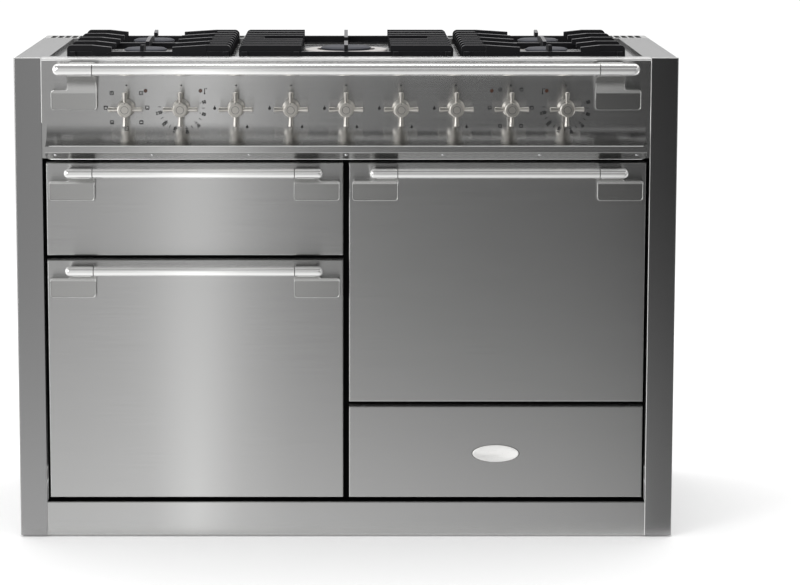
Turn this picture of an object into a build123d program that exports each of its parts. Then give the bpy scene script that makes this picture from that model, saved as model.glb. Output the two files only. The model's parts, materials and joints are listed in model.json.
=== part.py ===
"""Stainless range cooker: two ovens, a broiler, a storage drawer and a five-burner hob.

Millimetres. +X is to the right, +Y to the back and +Z up. The origin is on the floor, midway
between the sides and between the front of the hand rail and the back.
"""
import os

from build123d import *

os.makedirs("parts", exist_ok=True)

# Overall sizes
WIDTH = 1215
DEPTH = 610
HOB_HEIGHT = 895
CHEEK_WIDTH = 50
SHEET = 2
THIN_SHEET = 1.5
EDGE_RADIUS = 3

# Clearances
SEAT_GAP = 0.05
RUN_GAP = 0.3
SEAM = 0.5
CUT_OVER = 1

# Heights of the fronts
FOOT_CLEAR = 3
PLINTH_HEIGHT = 64.5
FRONT_GAP = 8
FASCIA_HEIGHT = 184
BROILER_DOOR_HEIGHT = 172
DRAWER_HEIGHT = 173
SIDE_GAP = 6.5
CENTRE_GAP = 10

# Carcass
FRAME_DEPTH = 30
FRAME_LAP = 10
FOOT_RADIUS = 22
FOOT_STEM_RADIUS = 6
FOOT_RIM = 8
FOOT_SHOULDER = 16
FOOT_COLLAR = 4
FOOT_INSET = 90
BASE_SKIRT = 36
INLET_RADIUS = 10.5
INLET_LENGTH = 46
INLET_HOLE_RADIUS = 30
INLET_X = 470
INLET_Z = 640
CABLE_HOLE_RADIUS = 13
LOUVRE_LENGTH = 120
LOUVRE_WIDTH = 6
LOUVRE_PITCH = 18
LOUVRE_ROWS = 6

# Fascia
LIP_REACH = 38
LIP_HEIGHT = 13
LIP_CHAMFER = 22
LIP_TOP = 27
LIP_ROUND = 2.5
LIP_INSET = 9
LIP_CORNER = 7
ROLL_RADIUS = 4
KNOB_DROP = 91
KNOB_PITCH = 100.4
KNOB_COUNT = 9
GAS_KNOBS = (2, 3, 4, 5, 6)

# Knobs
KNOB_HUB_RADIUS = 13.5
KNOB_CAP_RADIUS = 9.7
KNOB_HEIGHT = 52
KNOB_LIFT = 1
KNOB_SKIRT_RADIUS = 16
KNOB_SKIRT_HEIGHT = 6
KNOB_WAIST = 12
KNOB_SPAN = 30.5
HEAD_DEPTH = 22
HEAD_CONE = 5
HEAD_ROUND = 2
CAP_STEP = 2
SPOKE_DROP = 15
SPOKE_ROOT_RADIUS = 3.2
SPOKE_TIP_RADIUS = 4.85
SHAFT_RADIUS = 4
SHAFT_REACH = 30
SHAFT_END_GAP = 1
LAMP_RADIUS = 2.5
LAMP_FLANGE = 1
LAMP_RISE = 31
LAMP_OFFSETS = ((0, 35), (1, 35), (7, -35), (8, -35))

# Hand rail and handles
RAIL_RADIUS = 11
RAIL_STANDOFF = 47
RAIL_HALF_LENGTH = 532
RAIL_DROP = 18
RAIL_SLEEVE = 72
BAR_RADIUS = 9
BAR_STANDOFF = 45
BAR_DROP = 15
BAR_END_INSET = 37
BAR_SLEEVE = 52
BAR_ROUND = 0.95
GROOVE = 1
BRACKET_WIDTH = 85
BRACKET_INSET = 6
BRACKET_HEIGHT = 38
BRACKET_THICK = 13
NECK_WIDTH = 47
RAIL_NECK_WIDTH = 54
NECK_RISE = 16.5
RAIL_NECK_RISE = 39
BRACKET_ROUND = 6
BRACKET_EDGE = 2
BRACKET_BOW = 4

# Doors and drawer
DOOR_DEPTH = 24
DOOR_EDGE = 2.5
HINGE_BACK = 9
HINGE_UP = 9
PIN_RADIUS = 4
LUG_WIDTH = 6
LUG_HEIGHT = 10
LUG_FLANGE = 16
LUG_CLEAR = 1
LUG_FLANGE_THICK = 1.2
LUG_INSET = 26
EAR_WIDTH = 4
PIN_OVER = 2
LUG_ROOM = 2
SEAL_WIDTH = 12
SEAL_MARGIN = 1
CAVITY_WIDTH = 450
OVEN_DEPTH = 455
BROILER_DEPTH = 400
OVEN_SILL = 36
OVEN_HEAD = 38
BROILER_SILL = 30
DRAWER_BOX_WIDTH = 470
DRAWER_BOX_HEIGHT = 118
DRAWER_BOX_DEPTH = 450
DRAWER_BOX_RISE = 24
DRAWER_MOUTH_MARGIN = 10
RUNNER_WIDTH = 9
RUNNER_HEIGHT = 8
RUNNER_RISE = 50
LINER_INSET = 1
LINER_PLUG = 3
LINER_PLUG_MARGIN = 25

# Oven fittings
LADDER_POST = 4
LADDER_ROD = 5
LADDER_REACH = 10
LADDER_PITCH = 62
LADDER_RODS = 5
RACK_LEVEL = 2
RACK_WIRE_RADIUS = 3
RACK_BAR_RADIUS = 2.5
RACK_BARS = 13
RACK_DEPTH = 380
FITTING_SETBACK = 22
PAN_DEPTH = 32
PAN_LIP = 12
BAFFLE_SIZE = 280
BAFFLE_DEPTH = 34
BAFFLE_SLOT = 37
BAFFLE_SLOT_WIDTH = 6.5
FAN_RADIUS = 62
FAN_BLADES = 12
FAN_DEPTH = 20
FAN_HUB_RADIUS = 11
FAN_BLADE_SINK = 1
MOTOR_RADIUS = 34
MOTOR_LENGTH = 48
ELEMENT_RADIUS = 3.5
ELEMENT_RING = 84
GRILL_RUNS = 6

# Hob
TRAY_DEPTH = 505
TRAY_DROP = 13
TRAY_RIM = 10
TRAY_SLOPE = 15
VENT_SLOT_WIDTH = 10
VENT_SLOT_LENGTH = 58
VENT_PITCH = 14
VENT_WALL = 18
BURNER_X = 377
BURNER_FRONT = 175
BURNER_REAR = 425
BURNER_MIDDLE = 290
BURNER_RING = 78
BURNER_CROWN = 34
BURNER_CAP = 40
BURNER_RISE = 11
WOK_RING = 80
WOK_RING_IN = 56
WOK_RING_HEIGHT = 7
WOK_RING_EDGE = 2
WOK_CROWN = 42
WOK_CAP = 48
WOK_RISE = 6
CROWN_FLARE = 5
CAP_THICK = 7
CAP_BEVEL = 2
CAP_SIDE = 4
CAP_SHOULDER = 5
CAP_DOME = 0.5
STEM_RADIUS = 15
STEM_ROOM = 1
STEM_DROP = 14
PORT_COUNT = 18
PORT_WIDTH = 3
SUPPORT_RISE = 19
SUPPORT_FRONT = 57
SUPPORT_PITCH = 54
SUPPORT_SLATS = 9
SLAT_THICK = 8
SLAT_BLADE = 11
SLAT_HEIGHT = 24
SLAT_ROUND = 9
SLAT_SHANK = 46
SLAT_FALL = 4
SLAT_UNDERCUT = 26
STUB_LENGTH = 42
SUPPORT_RAIL = 10
SIDE_SUPPORT_IN = 212
SIDE_SUPPORT_OUT = 515
CENTRE_SUPPORT_OUT = 198
CENTRE_SUPPORT_IN = 82
FLAME_CLEAR = 56
BLADE_TIP = 44
BLADE_THICK = 7

# Gas train
MANIFOLD_SIZE = 20
TAP_WIDTH = 30
TAP_HEIGHT = 34
TAP_DEPTH = 34
TAP_SETBACK = 16
TAP_CHAMFER = 5
PIPE_RADIUS = 5
PIPE_BEND = 30
SWITCH_SIZE = 32
SWITCH_DEPTH = 36
SWITCH_BUSH = 9
SWITCH_BUSH_LENGTH = 8

# Places worked out from the sizes above
FRONT = -(DEPTH - RAIL_STANDOFF - RAIL_RADIUS) / 2
BACK = FRONT + DEPTH
BODY_HALF = WIDTH / 2 - CHEEK_WIDTH
PLINTH_TOP = FOOT_CLEAR + PLINTH_HEIGHT
FASCIA_BOTTOM = HOB_HEIGHT - FASCIA_HEIGHT
FRONTS_LOW = PLINTH_TOP + FRONT_GAP
FRONTS_HIGH = FASCIA_BOTTOM - FRONT_GAP
BROILER_LOW = FRONTS_HIGH - BROILER_DOOR_HEIGHT
LEFT_OVEN_HIGH = BROILER_LOW - FRONT_GAP
DRAWER_HIGH = FRONTS_LOW + DRAWER_HEIGHT
RIGHT_OVEN_LOW = DRAWER_HIGH + FRONT_GAP
FRONT_OUTER = BODY_HALF - SIDE_GAP
FRONT_INNER = CENTRE_GAP / 2
FRONT_MIDDLE = (FRONT_OUTER + FRONT_INNER) / 2
FRAME_FRONT = FRONT + FRAME_DEPTH
FRAME_BACK = FRAME_FRONT + SHEET
LINER_BACK = FRONT + DOOR_DEPTH + THIN_SHEET
KNOB_Z = HOB_HEIGHT - KNOB_DROP
SPOKE_HEIGHT = KNOB_HEIGHT - SPOKE_DROP
TRAY_BACK = FRAME_FRONT + TRAY_DEPTH
TRAY_FLOOR = HOB_HEIGHT - TRAY_DROP + SHEET
SUPPORT_TOP = HOB_HEIGHT + SUPPORT_RISE


def block(x_span, y_span, z_span, mode=Mode.ADD):
    """Add or cut a box between three spans, in the part being built."""
    spans = (x_span, y_span, z_span)
    centre = tuple(sum(span) / 2 for span in spans)
    with Locations(centre):
        Box(*(abs(span[1] - span[0]) for span in spans), mode=mode)


def rod(start, end, radius, mode=Mode.ADD):
    """Add or cut a straight round bar between two points, in the part being built."""
    start = Vector(*start)
    along = Vector(*end) - start
    with Locations(Plane(origin=start + along / 2, z_dir=along).location):
        Cylinder(radius, along.length, mode=mode)


def keep(part, name):
    """Label a finished piece and write it."""
    part.label = name
    export_step(part, f"parts/{name}.step")


def knob_x(index):
    return (index - (KNOB_COUNT - 1) / 2) * KNOB_PITCH


def around(middle, size):
    return (middle - size / 2, middle + size / 2)


# Side panels: folded pans, open on the inner side and below, notched behind for the vent channel
VENT_LOW = HOB_HEIGHT - VENT_WALL
for side, name in ((-1, "side_panel_left"), (1, "side_panel_right")):
    with BuildPart() as panel:
        block((side * BODY_HALF, side * WIDTH / 2), (FRONT, BACK), (FOOT_CLEAR, HOB_HEIGHT))
        outer = panel.faces().sort_by(Axis.X)[-1 if side > 0 else 0]
        fillet(outer.edges().filter_by(Axis.Z) + outer.edges().filter_by(Axis.Y).sort_by(Axis.Z)[-1:],
               EDGE_RADIUS)
        inner = panel.faces().sort_by(Axis.X)[0 if side > 0 else -1]
        below = panel.faces().sort_by(Axis.Z)[0]
        offset(amount=-SHEET, openings=[inner, below])
        block((side * BODY_HALF, side * WIDTH / 2), (TRAY_BACK, BACK), (VENT_LOW, HOB_HEIGHT), Mode.SUBTRACT)
    keep(panel.part, name)

# Base pan with a turned-down skirt
with BuildPart() as base_pan:
    block((-BODY_HALF, BODY_HALF), (FRAME_FRONT, BACK - SHEET), (PLINTH_TOP - BASE_SKIRT, PLINTH_TOP))
    offset(amount=-THIN_SHEET, openings=base_pan.faces().sort_by(Axis.Z)[0])
keep(base_pan.part, "base_pan")

# Levelling feet on threaded stems under the base pan
with BuildPart() as feet:
    for x in (-BODY_HALF + FOOT_INSET, BODY_HALF - FOOT_INSET):
        for y in (FRAME_FRONT + FOOT_INSET, BACK - FOOT_INSET):
            with BuildSketch(Plane(origin=(x, y, 0), x_dir=(1, 0, 0), z_dir=(0, -1, 0))):
                with BuildLine():
                    Polyline((0, 0), (FOOT_RADIUS, 0), (FOOT_RADIUS, FOOT_RIM),
                             (FOOT_STEM_RADIUS + FOOT_COLLAR, FOOT_SHOULDER),
                             (FOOT_STEM_RADIUS, FOOT_SHOULDER), (FOOT_STEM_RADIUS, PLINTH_TOP - THIN_SHEET),
                             (0, PLINTH_TOP - THIN_SHEET), close=True)
                make_face()
            revolve(axis=Axis((x, y, 0), (0, 0, 1)))
keep(feet.part, "levelling_feet")

# Plinth: a folded panel in front of the base pan, from cheek to cheek
with BuildPart() as plinth:
    block((-BODY_HALF + SEAM, BODY_HALF - SEAM), (FRONT, FRAME_FRONT), (FOOT_CLEAR, PLINTH_TOP))
    fillet(plinth.faces().sort_by(Axis.Y)[0].edges().filter_by(Axis.X), DOOR_EDGE)
    offset(amount=-THIN_SHEET, openings=plinth.faces().sort_by(Axis.Y)[-1])
keep(plinth.part, "plinth")

# Cavity mouths: centre line, width, lowest and highest point
BROILER_MOUTH = (-FRONT_MIDDLE, CAVITY_WIDTH, BROILER_LOW + BROILER_SILL, FRONTS_HIGH - BROILER_SILL)
LEFT_MOUTH = (-FRONT_MIDDLE, CAVITY_WIDTH, FRONTS_LOW + OVEN_SILL, LEFT_OVEN_HIGH - OVEN_HEAD)
RIGHT_MOUTH = (FRONT_MIDDLE, CAVITY_WIDTH, RIGHT_OVEN_LOW + OVEN_SILL, FRONTS_HIGH - OVEN_HEAD)
DRAWER_BOX_LOW = FRONTS_LOW + DRAWER_BOX_RISE
DRAWER_MOUTH = (FRONT_MIDDLE, DRAWER_BOX_WIDTH + 2 * DRAWER_MOUTH_MARGIN,
                DRAWER_BOX_LOW - DRAWER_MOUTH_MARGIN,
                DRAWER_BOX_LOW + DRAWER_BOX_HEIGHT + DRAWER_MOUTH_MARGIN)

# Front frame: one sheet with the four mouths cut out
with BuildPart() as front_frame:
    block((-BODY_HALF, BODY_HALF), (FRAME_FRONT, FRAME_BACK), (PLINTH_TOP, FASCIA_BOTTOM + FRAME_LAP))
    for x, width, low, high in (BROILER_MOUTH, LEFT_MOUTH, RIGHT_MOUTH, DRAWER_MOUTH):
        block(around(x, width), (FRAME_FRONT, FRAME_BACK), (low, high), Mode.SUBTRACT)
keep(front_frame.part, "front_frame")

# Back panel with cooling slots, the gas inlet opening and the cable entry
with BuildPart() as back_panel:
    with BuildSketch(Plane.XZ.offset(-BACK)):
        with Locations((0, PLINTH_TOP - BASE_SKIRT)):
            Rectangle(2 * BODY_HALF, VENT_LOW - PLINTH_TOP + BASE_SKIRT, align=(Align.CENTER, Align.MIN))
        for x in (-FRONT_MIDDLE, FRONT_MIDDLE):
            with Locations((x, (RIGHT_MOUTH[2] + RIGHT_MOUTH[3]) / 2)):
                with GridLocations(2 * LOUVRE_LENGTH, LOUVRE_PITCH, 2, LOUVRE_ROWS):
                    SlotOverall(LOUVRE_LENGTH, LOUVRE_WIDTH, mode=Mode.SUBTRACT)
        with Locations((INLET_X, INLET_Z)):
            Circle(INLET_HOLE_RADIUS, mode=Mode.SUBTRACT)
        with Locations((-INLET_X, INLET_Z)):
            Circle(CABLE_HOLE_RADIUS, mode=Mode.SUBTRACT)
    extrude(amount=SHEET)
keep(back_panel.part, "back_panel")


def cavity(mouth, depth, fan):
    """A pressed oven liner, open at the front, with a shaft hole in its back when it has a fan."""
    x, width, low, high = mouth
    with BuildPart() as shell:
        block(around(x, width + 2 * THIN_SHEET), (FRAME_BACK, FRAME_BACK + depth + THIN_SHEET),
              (low - THIN_SHEET, high + THIN_SHEET))
        offset(amount=-THIN_SHEET, openings=shell.faces().sort_by(Axis.Y)[0])
        if fan:
            middle = (low + high) / 2
            rod((x, FRAME_BACK + depth - CUT_OVER, middle), (x, FRAME_BACK + depth + 2 * THIN_SHEET, middle),
                SHAFT_RADIUS + LUG_ROOM, Mode.SUBTRACT)
    return shell.part


keep(cavity(BROILER_MOUTH, BROILER_DEPTH, False), "broiler_cavity")
keep(cavity(LEFT_MOUTH, OVEN_DEPTH, True), "left_oven_cavity")
keep(cavity(RIGHT_MOUTH, OVEN_DEPTH, True), "right_oven_cavity")

# Door seals round each cavity mouth, just clear of the door liners
with BuildPart() as door_seals:
    for x, width, low, high in (BROILER_MOUTH, LEFT_MOUTH, RIGHT_MOUTH):
        with BuildSketch(Plane.XZ.offset(-FRAME_FRONT)):
            with Locations((x, (low + high) / 2)):
                RectangleRounded(width + 2 * SEAL_WIDTH, high - low + 2 * SEAL_WIDTH, 1.5 * SEAL_WIDTH)
                RectangleRounded(width + 2 * SEAL_MARGIN, high - low + 2 * SEAL_MARGIN, SEAL_WIDTH / 2,
                                 mode=Mode.SUBTRACT)
        extrude(amount=FRAME_FRONT - LINER_BACK - RUN_GAP)
keep(door_seals.part, "door_seals")

# Control fascia: a flat face, and below it a moulding with a scoop, a rolled lip and a slanted band
LIP_Z = FASCIA_BOTTOM + LIP_TOP
FASCIA_HALF = BODY_HALF - SEAM
LIP_HALF = FASCIA_HALF - LIP_INSET
with BuildPart() as fascia:
    with BuildSketch(Plane.YZ.offset(-LIP_HALF)) as moulding:
        with BuildLine():
            scoop = JernArc((FRONT, LIP_Z + LIP_REACH), (0, -1), LIP_REACH, -90)
            Polyline(scoop @ 1, (FRONT - LIP_REACH, LIP_Z - LIP_HEIGHT),
                     (FRONT - LIP_REACH + LIP_CHAMFER, FASCIA_BOTTOM), (FRAME_FRONT, FASCIA_BOTTOM),
                     (FRAME_FRONT, LIP_Z + LIP_REACH), scoop @ 0)
        make_face()
    extrude(amount=2 * LIP_HALF)
    with BuildSketch(Plane.XZ.offset(-FRAME_FRONT)) as front_outline:
        with Locations((0, FASCIA_BOTTOM)):
            Rectangle(2 * LIP_HALF, LIP_TOP + LIP_REACH, align=(Align.CENTER, Align.MIN))
        fillet(front_outline.vertices().group_by(Axis.Y)[0], LIP_CORNER)
    extrude(amount=FRAME_FRONT - FRONT + LIP_REACH, mode=Mode.INTERSECT)
    block((-FASCIA_HALF, FASCIA_HALF), (FRONT, FRAME_FRONT), (FASCIA_BOTTOM, HOB_HEIGHT))
    long_edges = fascia.edges().filter_by(Axis.X)
    fillet(long_edges.group_by(Axis.Z)[-1].sort_by(Axis.Y)[0], ROLL_RADIUS)
    fillet(fascia.edges().filter_by(Axis.X).group_by(Axis.Y)[0], LIP_ROUND)
    block((-FASCIA_HALF + SHEET, FASCIA_HALF - SHEET), (FRONT + SHEET, FRAME_FRONT),
          (FASCIA_BOTTOM + SHEET, HOB_HEIGHT - SHEET), Mode.SUBTRACT)
    with BuildSketch(Plane.YZ.offset(-LIP_HALF + 2 * SHEET)):
        add(moulding.sketch_local)
        offset(amount=-SHEET, mode=Mode.REPLACE)
    extrude(amount=2 * (LIP_HALF - 2 * SHEET), mode=Mode.SUBTRACT)
    for index in range(KNOB_COUNT):
        rod((knob_x(index), FRONT - CUT_OVER, KNOB_Z), (knob_x(index), FRONT + SHEET + CUT_OVER, KNOB_Z),
            SHAFT_RADIUS + LUG_ROOM, Mode.SUBTRACT)
    for index, shift in LAMP_OFFSETS:
        x = knob_x(index) + shift
        z = KNOB_Z + LAMP_RISE
        rod((x, FRONT - CUT_OVER, z), (x, FRONT + SHEET + CUT_OVER, z), LAMP_RADIUS, Mode.SUBTRACT)
keep(fascia.part, "control_fascia")

# Indicator lamps: a domed lens pushed into each hole
with BuildPart() as lamps:
    for index, shift in LAMP_OFFSETS:
        x = knob_x(index) + shift
        z = KNOB_Z + LAMP_RISE
        rod((x, FRONT, z), (x, FRONT + 3 * SHEET, z), LAMP_RADIUS - SEAT_GAP)
        rod((x, FRONT - SHEET, z), (x, FRONT, z), LAMP_RADIUS + LAMP_FLANGE)
    fillet(lamps.edges().group_by(Axis.Y)[0], SHEET / 2)
keep(lamps.part, "indicator_lamps")


def round_bar(half_length, x_middle, y, z, radius, sleeve):
    """A handle bar with an end sleeve at each end, set off by a shallow groove."""
    low = x_middle - half_length
    high = x_middle + half_length
    with BuildPart() as bar:
        rod((low + sleeve / 2, y, z), (high - sleeve / 2, y, z), radius - GROOVE)
        rod((low, y, z), (low + sleeve, y, z), radius)
        rod((low + sleeve + GROOVE, y, z), (high - sleeve - GROOVE, y, z), radius)
        rod((high - sleeve, y, z), (high, y, z), radius)
        rims = bar.edges().filter_by(GeomType.CIRCLE).sort_by(Axis.X)
        fillet([rims[0], rims[-1]], radius * BAR_ROUND)
    return bar.part


def stepped_bracket(outer, side, z, radius, standoff, neck_width, neck_rise):
    """A cast bracket: a wide foot on the panel, and a narrower neck that sweeps out to the bar."""
    inner = outer - side * BRACKET_WIDTH
    step = inner + side * neck_width
    foot_top = z - neck_rise
    foot_low = foot_top - BRACKET_HEIGHT
    top = z + radius
    with BuildPart() as bracket:
        with BuildSketch(Plane.XZ.offset(-FRONT)) as outline:
            with BuildLine():
                Polyline((outer, foot_low), (inner, foot_low), (inner, top), (step, top),
                         (step, foot_top), (outer, foot_top), close=True)
            make_face()
            fillet(outline.vertices(), BRACKET_ROUND)
        extrude(amount=standoff)
        with BuildSketch(Plane.YZ.offset(min(outer, inner))):
            with BuildLine():
                start = (FRONT - BRACKET_THICK, foot_top - BRACKET_THICK / 2)
                end = (FRONT - standoff, z - radius)
                half_way = ((start[0] + end[0]) / 2 + BRACKET_BOW, (start[1] + end[1]) / 2 + BRACKET_BOW)
                ThreePointArc(start, half_way, end)
                Polyline(end, (FRONT - standoff, top), (FRONT, top), (FRONT, foot_low),
                         (FRONT - BRACKET_THICK, foot_low), start)
            make_face()
        extrude(amount=BRACKET_WIDTH, mode=Mode.INTERSECT)
        foot_rim = bracket.faces().filter_by(Axis.Y).sort_by(Axis.Z)[0].edges()
        fillet(foot_rim.sort_by(Axis.Z)[:-1], BRACKET_EDGE)
        rod((outer, FRONT - standoff, z), (inner, FRONT - standoff, z), radius + SEAT_GAP, Mode.SUBTRACT)
    return bracket.part


# Hand rail
RAIL_Z = HOB_HEIGHT - RAIL_DROP
keep(round_bar(RAIL_HALF_LENGTH, 0, FRONT - RAIL_STANDOFF, RAIL_Z, RAIL_RADIUS, RAIL_SLEEVE),
     "hand_rail_bar")
with BuildPart() as rail_brackets:
    for side in (-1, 1):
        add(stepped_bracket(side * (FRONT_OUTER - 2 * BRACKET_INSET), side, RAIL_Z, RAIL_RADIUS,
                            RAIL_STANDOFF, RAIL_NECK_WIDTH, RAIL_NECK_RISE))
keep(rail_brackets.part, "hand_rail_brackets")


def cross_knob(index):
    """A cross-head knob on its shaft: a turned hub with four flared spokes."""
    centre = (knob_x(index), FRONT, KNOB_Z)
    head_low = KNOB_HEIGHT - HEAD_DEPTH
    rim_high = KNOB_HEIGHT - CAP_STEP
    with BuildPart(Plane(origin=centre, x_dir=(1, 0, 0), z_dir=(0, -1, 0))) as knob:
        with BuildSketch(Plane(origin=centre, x_dir=(1, 0, 0), z_dir=(0, 0, -1))):
            with BuildLine():
                Polyline((0, -SHAFT_REACH), (SHAFT_RADIUS, -SHAFT_REACH), (SHAFT_RADIUS, KNOB_LIFT),
                         (KNOB_SKIRT_RADIUS, KNOB_LIFT), (KNOB_SKIRT_RADIUS, KNOB_SKIRT_HEIGHT),
                         (KNOB_CAP_RADIUS, KNOB_WAIST), (KNOB_CAP_RADIUS, head_low - HEAD_CONE),
                         (KNOB_HUB_RADIUS, head_low), (KNOB_HUB_RADIUS, rim_high - HEAD_ROUND),
                         (KNOB_HUB_RADIUS - HEAD_ROUND, rim_high), (KNOB_CAP_RADIUS, rim_high),
                         (KNOB_CAP_RADIUS, KNOB_HEIGHT), (0, KNOB_HEIGHT), close=True)
            make_face()
        revolve(axis=Axis(centre, (0, -1, 0)))
        reach = KNOB_SPAN - KNOB_CAP_RADIUS
        with Locations((0, 0, SPOKE_HEIGHT)):
            with PolarLocations(KNOB_CAP_RADIUS + reach / 2, 4):
                Cone(SPOKE_ROOT_RADIUS, SPOKE_TIP_RADIUS, reach, rotation=(0, 90, 0))
    return knob.part


for index in range(KNOB_COUNT):
    keep(cross_knob(index), f"knob_{index + 1}")

# Behind the fascia: switches on bushes, gas taps on a square manifold
FASCIA_BACK = FRONT + SHEET
with BuildPart() as switches:
    for index in range(KNOB_COUNT):
        if index in GAS_KNOBS:
            continue
        x = knob_x(index)
        rod((x, FASCIA_BACK, KNOB_Z), (x, FASCIA_BACK + SWITCH_BUSH_LENGTH, KNOB_Z), SWITCH_BUSH)
        block(around(x, SWITCH_SIZE),
              (FASCIA_BACK + SWITCH_BUSH_LENGTH, FASCIA_BACK + SWITCH_BUSH_LENGTH + SWITCH_DEPTH),
              around(KNOB_Z, SWITCH_SIZE))
        rod((x, FASCIA_BACK, KNOB_Z), (x, FRONT + SHAFT_REACH + SHAFT_END_GAP, KNOB_Z),
            SHAFT_RADIUS + RUN_GAP, Mode.SUBTRACT)
keep(switches.part, "oven_switches")

TAP_FRONT = FASCIA_BACK + TAP_SETBACK
TAP_BACK = TAP_FRONT + TAP_DEPTH
with BuildPart() as taps:
    for index in GAS_KNOBS:
        x = knob_x(index)
        block(around(x, TAP_WIDTH), (TAP_FRONT, TAP_BACK), around(KNOB_Z, TAP_HEIGHT))
        chamfer(taps.solids().sort_by(Axis.X)[-1].edges().filter_by(Axis.Y), TAP_CHAMFER)
    for index in GAS_KNOBS:
        x = knob_x(index)
        rod((x, TAP_FRONT - CUT_OVER, KNOB_Z), (x, FRONT + SHAFT_REACH + SHAFT_END_GAP, KNOB_Z),
            SHAFT_RADIUS + RUN_GAP, Mode.SUBTRACT)
keep(taps.part, "gas_taps")

MANIFOLD_Z = KNOB_Z - TAP_HEIGHT / 2 - MANIFOLD_SIZE / 2
MANIFOLD_Y = (TAP_FRONT + TAP_BACK) / 2
with BuildPart() as manifold:
    left_end = knob_x(GAS_KNOBS[0]) - TAP_WIDTH
    block((left_end, INLET_X + PIPE_RADIUS), around(MANIFOLD_Y, MANIFOLD_SIZE),
          around(MANIFOLD_Z, MANIFOLD_SIZE))
    for x in (left_end + TAP_WIDTH / 4, INLET_X - TAP_WIDTH):
        block(around(x, TAP_WIDTH / 2), (FASCIA_BACK, MANIFOLD_Y), around(MANIFOLD_Z, MANIFOLD_SIZE))
    with BuildSketch(Plane.XZ.offset(-MANIFOLD_Y)):
        with Locations((INLET_X, MANIFOLD_Z)):
            Circle(INLET_RADIUS - SHEET)
    with BuildLine():
        FilletPolyline((INLET_X, MANIFOLD_Y, MANIFOLD_Z), (INLET_X, BACK - 3 * PIPE_BEND, MANIFOLD_Z),
                       (INLET_X, BACK - 3 * PIPE_BEND, INLET_Z), (INLET_X, BACK - INLET_LENGTH / 2, INLET_Z),
                       radius=PIPE_BEND)
    sweep()
    rod((INLET_X, BACK - SHEET - INLET_LENGTH, INLET_Z), (INLET_X, BACK - SHEET, INLET_Z), INLET_RADIUS)
keep(manifold.part, "gas_manifold")


def lug_places(x_low, x_high):
    """The middle of each hinge lug, and the way from it to its ear."""
    return ((x_low + LUG_INSET, 1), (x_high - LUG_INSET, -1))


def panel_skin(x_low, x_high, z_low, z_high):
    """A folded front panel, open at the back, with rounded front edges."""
    with BuildPart() as skin:
        block((x_low, x_high), (FRONT, FRONT + DOOR_DEPTH), (z_low, z_high))
        fillet(skin.faces().sort_by(Axis.Y)[0].edges(), DOOR_EDGE)
        offset(amount=-THIN_SHEET, openings=skin.faces().sort_by(Axis.Y)[-1])
    return skin.part


def lug_notches(x_low, x_high, z_low):
    """The room that the fixed hinge lugs need in a door, from shut to wide open."""
    with BuildPart() as notches:
        for x, _ in lug_places(x_low, x_high):
            block(around(x, LUG_WIDTH + 2 * LUG_ROOM), (FRONT + DOOR_EDGE + SEAT_GAP, LINER_BACK + CUT_OVER),
                  (z_low - CUT_OVER, z_low + HINGE_UP + LUG_HEIGHT / 2 + LUG_ROOM))
    return notches.part


def make_door(name, x_low, x_high, z_low, z_high, mouth):
    """Write a drop-down door: skin, liner, handle and hinge ears."""
    notches = lug_notches(x_low, x_high, z_low)
    skin_shell = panel_skin(x_low, x_high, z_low, z_high)
    with BuildPart() as skin:
        add(skin_shell)
        add(notches, mode=Mode.SUBTRACT)
    keep(skin.part, f"{name}_skin")

    mouth_x, mouth_width, mouth_low, mouth_high = mouth
    with BuildPart() as liner:
        block((x_low + LINER_INSET, x_high - LINER_INSET), (FRONT + DOOR_DEPTH, LINER_BACK),
              (z_low + LINER_INSET, z_high - LINER_INSET))
        with BuildSketch(Plane.XZ.offset(-LINER_BACK)):
            with Locations((mouth_x, (mouth_low + mouth_high) / 2)):
                RectangleRounded(mouth_width - 2 * LINER_PLUG_MARGIN,
                                 mouth_high - mouth_low - 2 * LINER_PLUG_MARGIN, LINER_PLUG_MARGIN)
        extrude(amount=-LINER_PLUG)
        add(notches, mode=Mode.SUBTRACT)
    keep(liner.part, f"{name}_liner")

    bar_z = z_high - BAR_DROP
    middle = (x_low + x_high) / 2
    bar = round_bar((x_high - x_low) / 2 - BAR_END_INSET, middle, FRONT - BAR_STANDOFF, bar_z,
                    BAR_RADIUS, BAR_SLEEVE)
    brackets = [stepped_bracket(outer, side, bar_z, BAR_RADIUS, BAR_STANDOFF, NECK_WIDTH, NECK_RISE)
                for outer, side in ((x_low + BRACKET_INSET, -1), (x_high - BRACKET_INSET, 1))]
    with BuildPart() as handle:
        add(bar)
        add(brackets)
    keep(handle.part, f"{name}_handle")

    axis_y = FRONT + HINGE_BACK
    axis_z = z_low + HINGE_UP
    with BuildPart() as ears:
        for x, way in lug_places(x_low, x_high):
            ear_x = x + way * (LUG_WIDTH / 2 + SEAM + EAR_WIDTH / 2)
            block(around(ear_x, EAR_WIDTH), (FRONT + THIN_SHEET, axis_y + 2 * PIN_RADIUS),
                  (axis_z - 1.5 * PIN_RADIUS, axis_z + 4 * PIN_RADIUS))
            rod((ear_x - EAR_WIDTH, axis_y, axis_z), (ear_x + EAR_WIDTH, axis_y, axis_z),
                PIN_RADIUS + RUN_GAP, Mode.SUBTRACT)
    keep(ears.part, f"{name}_hinge_ears")


DOORS = {
    "broiler_door": (-FRONT_OUTER, -FRONT_INNER, BROILER_LOW, FRONTS_HIGH, BROILER_MOUTH),
    "left_oven_door": (-FRONT_OUTER, -FRONT_INNER, FRONTS_LOW, LEFT_OVEN_HIGH, LEFT_MOUTH),
    "right_oven_door": (FRONT_INNER, FRONT_OUTER, RIGHT_OVEN_LOW, FRONTS_HIGH, RIGHT_MOUTH),
}
for name, sizes in DOORS.items():
    make_door(name, *sizes)

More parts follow.
